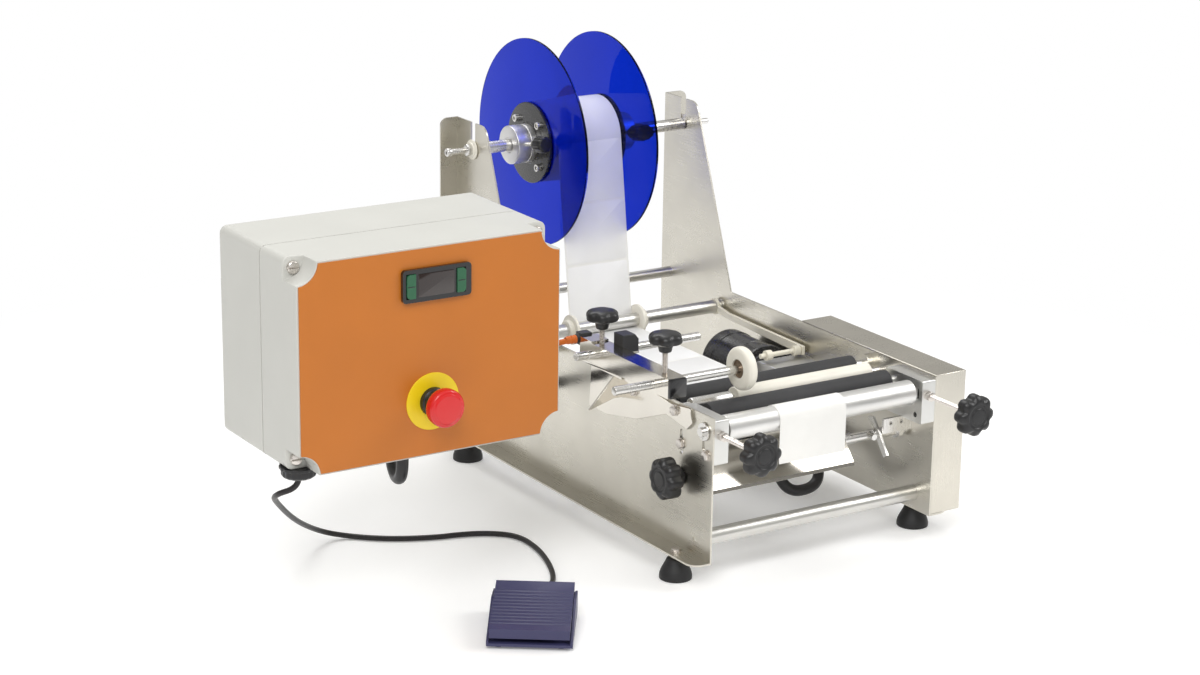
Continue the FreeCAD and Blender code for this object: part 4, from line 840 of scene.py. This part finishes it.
@dataclass
class ControlBox:
    """Details on the control box: controller, emergency stop and glands."""

    shop: Shop
    panel: float = 68.5
    stop: tuple[float, float] = (-298.5, 213.0)
    keys: tuple[tuple[str, float], ...] = (("left", -329.9), ("right", -272.8))
    glands: tuple[tuple[float, float, float], ...] = (
        (-429.0, 40.0, 12.0), (-311.0, 28.0, 12.0), (-238.0, 28.0, 6.0))

    def build(self) -> None:
        """Make every detail of the box."""
        self._controller()
        self._stop()
        form = Form()
        for x, width, drop in self.glands:
            half = width / 2
            form.lathe((x, 110, 155), Axis.MINUS_Z, [
                (0, 0, 0), (0, half, 0), (3, half, 0.8), (3, half - 2, 0.3), (drop - 2.5, half - 2, 1.2),
                (drop, half - 5, 1), (drop, 0, 0)], 96, 16, 0.04)
        self.shop.piece("ribbed_glands", form, "knob_plastic", "cable_glands")

    def _controller(self) -> None:
        """Make the controller's window and the middle line of each key."""
        front = 64.0
        self.shop.piece("controller_window", Form().tablet(
            (-317, front - 0.4, 325), (-275.5, front + 0.2, 349), 0.15, 2.0),
            "window_tint", "controller_bezel", False)
        for side, x in self.keys:
            self.shop.piece(f"{side}_key_line", Form().tablet(
                (x + 1, front - 1.75, 336.6), (x + 9, front - 1.3, 337.4), 0.1),
                "gloss_black", f"key_{side}", False)

    def _stop(self) -> None:
        """Make the emergency stop's collar, bare legend ring and mushroom head."""
        x, z = self.stop
        self.shop.piece("stop_collar", Form().lathe((x, self.panel, z), Axis.MINUS_Y, [
            (0, 9.05, 0), (0, 15, 0), (6.5, 15, 0.8), (7.5, 13.2, 0.4), (11.5, 13.2, 1.2),
            (11.5, 9.05, 0)], 72), "knob_plastic", "estop_collar")
        self.shop.piece("stop_legend", Form().lathe((x, self.panel, z), Axis.MINUS_Y, [
            (0, 15.05, 0), (0, 30, 0), (1, 30, 0.4), (1, 15.05, 0)], 96),
            "legend_yellow", "estop_collar", False)
        self.shop.piece("stop_head", Form().lathe((x, 49, z), Axis.MINUS_Y, [
            (8, 0, 0), (8, 4.55, 0), (0, 4.55, 0), (0, 17.5, 1), (2, 20, 1.6), (10.4, 20, 1.8),
            (12.6, 18.4, 0.8), (13, 16.2, 0.5), (14, 14.6, 1.2), (14, 0, 0)], 96),
            "stop_red", "estop_button")


@dataclass
class Frame:
    """Feet, bolts, tubes, motor and the blank labels on the web."""

    shop: Shop
    feet: tuple[tuple[float, float], ...] = ((-11, 48), (-11, 500), (314, 48), (314, 500))
    block_bolts: tuple[tuple[float, float], ...] = ((11, 120), (59, 120))
    arm_bolts: tuple[tuple[float, float], ...] = ((68, 155), (148, 155), (345, 136), (375, 136))
    rings: tuple[tuple[str, float, Axis], ...] = (
        ("left", 87.0, Axis.MINUS_X), ("right", 177.0, Axis.X))
    web_runs: tuple[tuple[Point, Point, int, Axis], ...] = (
        ((507.5, 352.5, 48.5), (420.0, 141.3, -8.5), 3, Axis.MINUS_Y),
        ((420.0, 141.3, -8.5), (56.0, 148.0, -13.0), 5, Axis.Z))

    def build(self) -> None:
        """Make every piece of the frame that the CAD leaves plain."""
        self._feet()
        self._bolts()
        tubes = Form().rod((2, 30, 19.5), Axis.X, 296, 18, 0.1)
        tubes.rod((2, 530, 158.5), Axis.X, 296, 13, 0.1)
        self.shop.piece("round_tubes", tubes, "tube_steel", "cross_tubes")
        self.shop.piece("guide_tube", Form().washer((2, 420, 141.3), Axis.X, 296, 16, 12),
                        "tube_steel", "web_tube")
        for side, x, axis in self.rings:
            self.shop.piece(f"{side}_web_spool", Form().lathe((x, 420, 141.3), axis, [
                (0, 8.1, 0), (0, 18, 1.2), (4, 18, 1.2), (4.3, 12.5, 0.5), (10, 12, 1),
                (10, 8.1, 0)], 64), "white_nylon", f"web_ring_{side}")
        self.shop.piece("motor_can", Form().lathe((258, 258, 99.5), Axis.Y, [
            (0, 0, 0), (0, 31, 2), (6, 31, 0.4), (6, 37, 1), (14, 37, 0.6), (14, 36, 0.3),
            (30, 36, 0.2), (30.6, 35.2, 0.2), (32, 35.2, 0.2), (32.6, 36, 0.2), (70, 36, 0.3),
            (70, 37, 0.6), (86, 37, 1.5), (90, 32, 1.5), (90, 0, 0)], 96), "black_enamel",
            "drive_motor")
        self._labels()

    def _feet(self) -> None:
        """Make the four rubber feet."""
        form = Form()
        for x, y in self.feet:
            form.lathe((x, y, -28), Axis.Z, [
                (0, 0, 0), (0, 18, 0.8), (4.6, 18, 1.4), (9.6, 16.5, 1.6), (14.4, 14, 1.6),
                (19.2, 11.5, 1.6), (23, 10, 1.2), (23, 0, 0)], 64)
        self.shop.piece("bell_feet", form, "foot_rubber", "rubber_feet")

    def _bolts(self) -> None:
        """Make every hexagonal bolt and nut of the frame."""
        form = Form()
        for x, y in self.feet:
            form.bolt((x, y, 2), Axis.Z)
            form.thread((x, y, -12), Axis.Z, 12, 6)
            form.hexagon((x, y, -5), Axis.Z, 5, 10)
        for y, z in self.block_bolts:
            form.bolt((0, y, z), Axis.MINUS_X)
            form.bolt((300, y, z), Axis.X)
        for y, z in self.arm_bolts:
            form.bolt((-3, y, z), Axis.MINUS_X)
        for x in (11, 289):
            form.hexagon((x, 0, 143.5), Axis.MINUS_Y, 6, 10)
        self.shop.piece("bolts_and_nuts", form, "zinc_nut", "hex_bolts")

    def _labels(self) -> None:
        """Lay blank labels on the web's two straight runs."""
        form = Form()
        for first, last, count, side in self.web_runs:
            start, end = self._tangent(first, last)
            run = end - start
            pitch = run.length / count
            way = run.normalized()
            across = Vector((1.0, 0.0, 0.0))
            out = across.cross(way)
            if out.dot(Vector(side.value)) < 0:
                out = -out
            turn = Matrix((across, out, across.cross(out))).transposed().to_4x4()
            for number in range(count):
                middle = start + way * pitch * (number + 0.5) + out * 0.25
                form.tablet((-42, -0.05, 1.5 - pitch / 2), (42, 0.1, pitch / 2 - 1.5), 0.04, 3.0,
                            Matrix.Translation(middle) @ turn)
        self.shop.piece("blank_labels", form, "label_paper", "label_web", False)

    @staticmethod
    def _tangent(first: Point, last: Point) -> tuple[Vector, Vector]:
        """Return the ends of the straight run between two circles, at the web's middle.

        Args:
            first: Setback, level and signed radius of the circle that it leaves.
            last: The same of the circle that it meets.

        Returns:
            The run's two ends.
        """
        start, end = complex(*first[:2]), complex(*last[:2])
        across = last[2] - first[2]
        heading = (end - start) / complex(math.sqrt(abs(end - start) ** 2 - across ** 2), across)
        ends = (start - first[2] * heading * 1j, end - last[2] * heading * 1j)
        return tuple(Vector((132.0, point.real, point.imag)) for point in ends)


@dataclass
class Arm:
    """Rods, clamps, press wheel, cap, lock knob and the sensor's details on the left arm."""

    shop: Shop
    middle: float = -24.0
    level: float = 192.5
    clamps: tuple[tuple[str, float, float], ...] = (("rear", 182.0, 220.0), ("front", 58.0, 226.5))

    def build(self) -> None:
        """Make every piece of the arm that the CAD leaves plain."""
        self.shop.piece("rounded_cap", Form().tablet((-35, 32, 181.5), (-13, 35, 203.5), 0.8, 2.5),
                        "gloss_black", "arm_cap")
        self.shop.piece("grooved_sensor_rod", Form().lathe((-58, 182, self.level), Axis.X, [
            (0, 0, 0), (0, 4.75, 0.8), (14, 4.75, 0.2), (14.3, 4.2, 0.1), (15.7, 4.2, 0.1),
            (16, 4.75, 0.2), (162, 4.75, 0.8), (162, 0, 0)], 40), "zinc_plate", "sensor_rod")
        self.shop.piece("turned_wheel_rod", Form().rod((-88, 58, self.level), Axis.X, 170, 9.5, 0.8),
                        "zinc_plate", "wheel_rod")
        self._wheel()
        for side, setback, base in self.clamps:
            node = f"{side}_clamp_knob"
            self.shop.piece(f"{side}_clamp_head", Form().lathe((self.middle, setback, base), Axis.Z, [
                (0, 0, 0), (0, 6.6, 0.6), (8, 8.5, 1.5), (9, 15, 1.2), (11, 19, 2), (17, 19, 3),
                (20.5, 15, 2.5), (22, 7, 2), (22, 0, 0)], 96, 6, 0.13), "knob_plastic", node)
            self.shop.piece(f"{side}_clamp_stud", Form().thread(
                (self.middle, setback, 197.6), Axis.Z, base + 3 - 197.6, 6), "zinc_nut", node, False)
        self.shop.piece("lock_head", lobed_head((-1, 57, 84), Axis.MINUS_X, 9, 29), "knob_plastic",
                        "height_lock_knob")
        self.shop.piece("lock_screw", Form().rod((-3, 57, 84), Axis.X, 4.7, 6, 0.4), "zinc_nut",
                        "height_lock_knob", False)
        self.shop.piece("sensor_relief", Form().lathe((-37, 216, 201), Axis.MINUS_X, [
            (0, 3.3, 0), (0, 4.8, 0.3), (2, 4.8, 0.3), (2.4, 4.1, 0.2), (4, 4.1, 0.2), (4.4, 4.7, 0.2),
            (6, 4.7, 0.2), (6.4, 4.0, 0.2), (8, 4.0, 0.2), (8.4, 4.5, 0.2), (10, 4.5, 0.2),
            (13, 3.7, 0.3), (13, 3.3, 0)], 32), "cable_orange", "label_sensor", False)

    def _wheel(self) -> None:
        """Make the press wheel's soft tread and its bearing."""
        spot = (70, 58, self.level)
        self.shop.piece("wheel_tread", Form().lathe(spot, Axis.X, [
            (0.4, 10.5, 0), (0, 11.4, 0.4), (0, 20.5, 1.5), (1.4, 23, 1.5), (3.4, 24, 1.6),
            (8.6, 24, 1.6), (10.6, 23, 1.5), (12, 20.5, 1.5), (12, 11.4, 0.4), (11.6, 10.5, 0)], 96),
            "white_nylon", "press_wheel")
        self.shop.piece("wheel_bearing", Form().lathe(spot, Axis.X, [
            (2, 4.8, 0), (2, 6.6, 0.2), (2.5, 6.8, 0.1), (2.5, 8.8, 0.1), (2, 9, 0.2), (2, 10.45, 0.3),
            (10, 10.45, 0.3), (10, 9, 0.2), (9.5, 8.8, 0.1), (9.5, 6.8, 0.1), (10, 6.6, 0.2),
            (10, 4.8, 0)], 64), "bearing_bronze", "press_wheel", False)


@dataclass
class Cords:
    """The pedal cord, the motor conduit and the sensor cable."""

    shop: Shop
    pedal: tuple[Point, ...] = (
        (-429, 110, 143), (-429, 110, 131), (-450.7, 125, 122), (-421.3, 180, 91.9),
        (-360.9, 265, 34.7), (-307.6, 325, -6.3), (-270.9, 339.3, -25), (-230.6, 301.3, -25),
        (-181.2, 278, -25), (-147.8, 271.4, -25), (-118.2, 257.8, -25), (-96.8, 234.4, -25),
        (-98.6, 190.4, -25), (-111, 146.7, -25), (-128, 108, -25), (-150, 80, -22),
        (-178.2, 60.2, -14), (-193, 38.9, -14))
    hose: tuple[Point, ...] = (
        (-311, 110, 143), (-311, 110, 121), (-309, 128, 113), (-300, 158, 128), (-262, 205, 140),
        (-170, 270, 134), (-95, 315, 118), (-45, 335, 110), (45, 335, 110), (105, 270, 76),
        (165, 200, 66), (193, 160, 52), (200, 141, 1), (248, 139, 1), (255, 152, 32),
        (264, 190, 40), (266, 226, 42), (266, 226, 66))
    sensor: tuple[Point, ...] = (
        (-148, 226, 197), (-126, 226, 197), (-95, 222, 196), (-62, 216, 199.5), (-37, 216, 201))

    def build(self) -> None:
        for name, node, route, diameter, finish, length, lay in (
                ("pedal_lead", "pedal_cord", self.pedal, 6.0, "cord_rubber", 0.782, "loose"),
                ("motor_hose", "motor_conduit", self.hose, 13.0, "hose_plastic", 0.918, "loose"),
                ("sensor_lead", "sensor_cable", self.sensor, 6.4, "cable_orange", 0.112, "hanging")):
            lead = self._line(name, route, diameter, finish)
            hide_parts(node)
            LOG.info("piece %s", name)
        end, before = Vector(self.pedal[-1]), Vector(self.pedal[-2])
        way = (before - end).normalized()
        ribs = [(0, 3.1, 0), (0, 5.2, 0.6)]
        for rib in range(4):
            ribs += [(3 + 4 * rib, 5.0 - 0.4 * rib, 0.3), (3.6 + 4 * rib, 4.2 - 0.3 * rib, 0.2),
                     (5.4 + 4 * rib, 4.2 - 0.3 * rib, 0.2), (6 + 4 * rib, 4.9 - 0.4 * rib, 0.3)]
        ribs += [(21, 3.5, 0.3), (21, 3.1, 0)]
        self.shop.piece("pedal_relief", Form().lathe(tuple(end), way, ribs, 32), "cord_rubber",
                        "pedal_base", False)

    def _line(self, name: str, route: Sequence[Point], diameter: float,
              finish: str) -> bpy.types.Object:
        """Make one cord as a smooth tube along its route.

        Args:
            name: Name of the piece.
            route: Control points in the machine's frame, in millimetres.
            diameter: Its diameter in millimetres.
            finish: Name of its finish.

        Returns:
            The curve object.
        """
        data = bpy.data.curves.new(name, "CURVE")
        data.dimensions = "3D"
        data.bevel_depth = diameter / 2 * MM
        data.bevel_resolution = 6
        data.resolution_u = 16
        data.use_fill_caps = True
        spline = data.splines.new("NURBS")
        spline.points.add(len(route) - 1)
        for point, place in zip(spline.points, route):
            point.co = (*(INTO_ROW @ Vector(place)), 1.0)
        spline.order_u = 3
        spline.use_endpoint_u = True
        data.materials.append(self.shop.paint.get(finish))
        lead = bpy.data.objects.new(name, data)
        bpy.context.scene.collection.objects.link(lead)
        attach(lead, "frame")
        return lead


@dataclass
class Studio:
    """White floor, soft light and the camera at the reference view's angle."""

    eye: Point = (-1.583726, -2.319699, 1.108347)
    angles: Point = (73.35827, -0.814402, -32.33658)
    lens: float = 83.473
    clear_floor: tuple[float, float] = (0.55, 1.15)
    floor_lift: float = 0.14
    sky_strength: float = 0.66
    sky: tuple[tuple[float, float], ...] = (
        (0.0, 0.72), (0.47, 0.66), (0.53, 0.34), (0.62, 0.66), (0.8, 1.0))
    lamps: tuple[tuple[Point, Point, float, float], ...] = (
        ((-1.6, -1.6, 2.4), (0.0, 0.2, 0.2), 1.6, 44.0),
        ((1.9, -0.9, 1.9), (0.1, 0.2, 0.15), 1.2, 24.0),
        ((0.1, 1.4, 2.3), (0.0, 0.2, 0.2), 1.4, 20.0),
    )

    def build(self) -> None:
        """Make the whole stage."""
        self._camera()
        self._world()
        self._floor()
        for number, (place, target, size, power) in enumerate(self.lamps):
            data = bpy.data.lights.new(f"softbox_{number}", "AREA")
            data.shape = "SQUARE"
            data.size = size
            data.energy = power
            lamp = bpy.data.objects.new(f"softbox_{number}", data)
            lamp.location = place
            lamp.rotation_mode = "QUATERNION"
            lamp.rotation_quaternion = (Vector(target) - Vector(place)).to_track_quat("-Z", "Y")
            bpy.context.scene.collection.objects.link(lamp)
        view = bpy.context.scene.view_settings
        view.view_transform = "Standard"
        view.look = "None"

    def _camera(self) -> None:
        """Make the camera."""
        data = bpy.data.cameras.new("camera")
        data.sensor_width = 36.0
        data.lens = self.lens
        data.clip_start, data.clip_end = 0.05, 60.0
        camera = bpy.data.objects.new("camera", data)
        camera.location = self.eye
        camera.rotation_euler = Euler([math.radians(angle) for angle in self.angles], "XYZ")
        bpy.context.scene.collection.objects.link(camera)
        bpy.context.scene.camera = camera

    @staticmethod
    def _looked_at(graph: Graph, kinds: Sequence[str]) -> bpy.types.NodeSocket:
        """Return a socket that is 1 for rays from the camera and for some other kinds of ray.

        Args:
            graph: The tree being built.
            kinds: Names of the other kinds.

        Returns:
            The socket.
        """
        path = graph.nodes.new("ShaderNodeLightPath")
        value = path.outputs["Is Camera Ray"]
        for kind in kinds:
            value = graph.add("Math", {0: value, 1: path.outputs[kind]}, "MAXIMUM")
        return value

    def _world(self) -> None:
        """Make a white backdrop that lights the machine as a pale studio does."""
        world = bpy.data.worlds.new("studio")
        bpy.context.scene.world = world
        world.use_nodes = True
        graph = Graph(world.node_tree)
        graph.nodes.clear()
        split = graph.nodes.new("ShaderNodeSeparateXYZ")
        graph.feed(split, {"Vector": graph.nodes.new("ShaderNodeTexCoord").outputs["Generated"]})
        ramp = graph.add("ValToRGB", {"Fac": graph.add("MapRange", {
            "Value": split.outputs["Z"], "From Min": -1.0})})
        elements = ramp.node.color_ramp.elements
        while len(elements) < len(self.sky):
            elements.new(0.5)
        for element, (place, shade) in zip(elements, self.sky):
            element.position = place
            element.color = (shade, shade * 0.985, shade * 0.95, 1.0)
        mix = graph.add("MixShader", {
            "Fac": self._looked_at(graph, ("Is Transmission Ray",)),
            1: graph.add("Background", {"Color": ramp, "Strength": self.sky_strength}),
            2: graph.add("Background", {"Color": (1.0, 1.0, 1.0, 1.0)})})
        graph.feed(graph.nodes.new("ShaderNodeOutputWorld"), {"Surface": mix})

    def _floor(self) -> None:
        """Make a white floor that takes the machine's shadow and stays white further off."""
        mesh = bmesh.new()
        bmesh.ops.create_grid(mesh, x_segments=1, y_segments=1, size=12.0)
        data = bpy.data.meshes.new("floor")
        mesh.to_mesh(data)
        mesh.free()
        material = bpy.data.materials.new("floor_white")
        material.use_nodes = True
        graph = Graph(material.node_tree)
        shader = graph.nodes["Principled BSDF"]
        graph.feed(shader, {"Base Color": (0.93, 0.93, 0.93, 1.0), "Roughness": 0.9})
        seen = self._looked_at(graph, ("Is Glossy Ray", "Is Transmission Ray"))
        lift = graph.add("Emission", {
            "Strength": graph.add("Math", {0: seen, 1: self.floor_lift}, "MULTIPLY")})
        length = graph.add("VectorMath", {
            0: graph.nodes.new("ShaderNodeTexCoord").outputs["Object"]}, "LENGTH")
        inner, outer = self.clear_floor
        reach = graph.add("MapRange", {
            "Value": length.node.outputs["Value"], "From Min": inner, "From Max": outer})
        reach.node.interpolation_type = "SMOOTHSTEP"
        mix = graph.add("MixShader", {
            "Fac": graph.add("Math", {0: reach, 1: seen}, "MULTIPLY"),
            1: graph.add("AddShader", {0: shader.outputs["BSDF"], 1: lift}),
            2: graph.add("Emission", {})})
        graph.feed(graph.nodes["Material Output"], {"Surface": mix})
        data.materials.append(material)
        floor = bpy.data.objects.new("floor", data)
        floor.location = (0.0, 0.2, -0.0002)
        bpy.context.scene.collection.objects.link(floor)


def main() -> None:
    """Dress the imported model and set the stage."""
    logging.basicConfig(level=logging.INFO)
    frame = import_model()
    shop = Shop(Paint(), frame["nodes"], frame["bodies"])
    Studio().build()
    Cords(shop).build()
    for node, finish in PLAIN_NODES.items():
        shop.dress(node, finish)
    for node, (finish, width) in SOFT_NODES.items():
        shop.soften(node, finish, width)
    for assembly in (Frame, Rollers, Reel, ControlBox, Arm):
        assembly(shop).build()
    LOG.info("%d finishes, %d CAD nodes", len(FINISHES), len(frame["nodes"]))


if __name__ == "__main__":
    main()
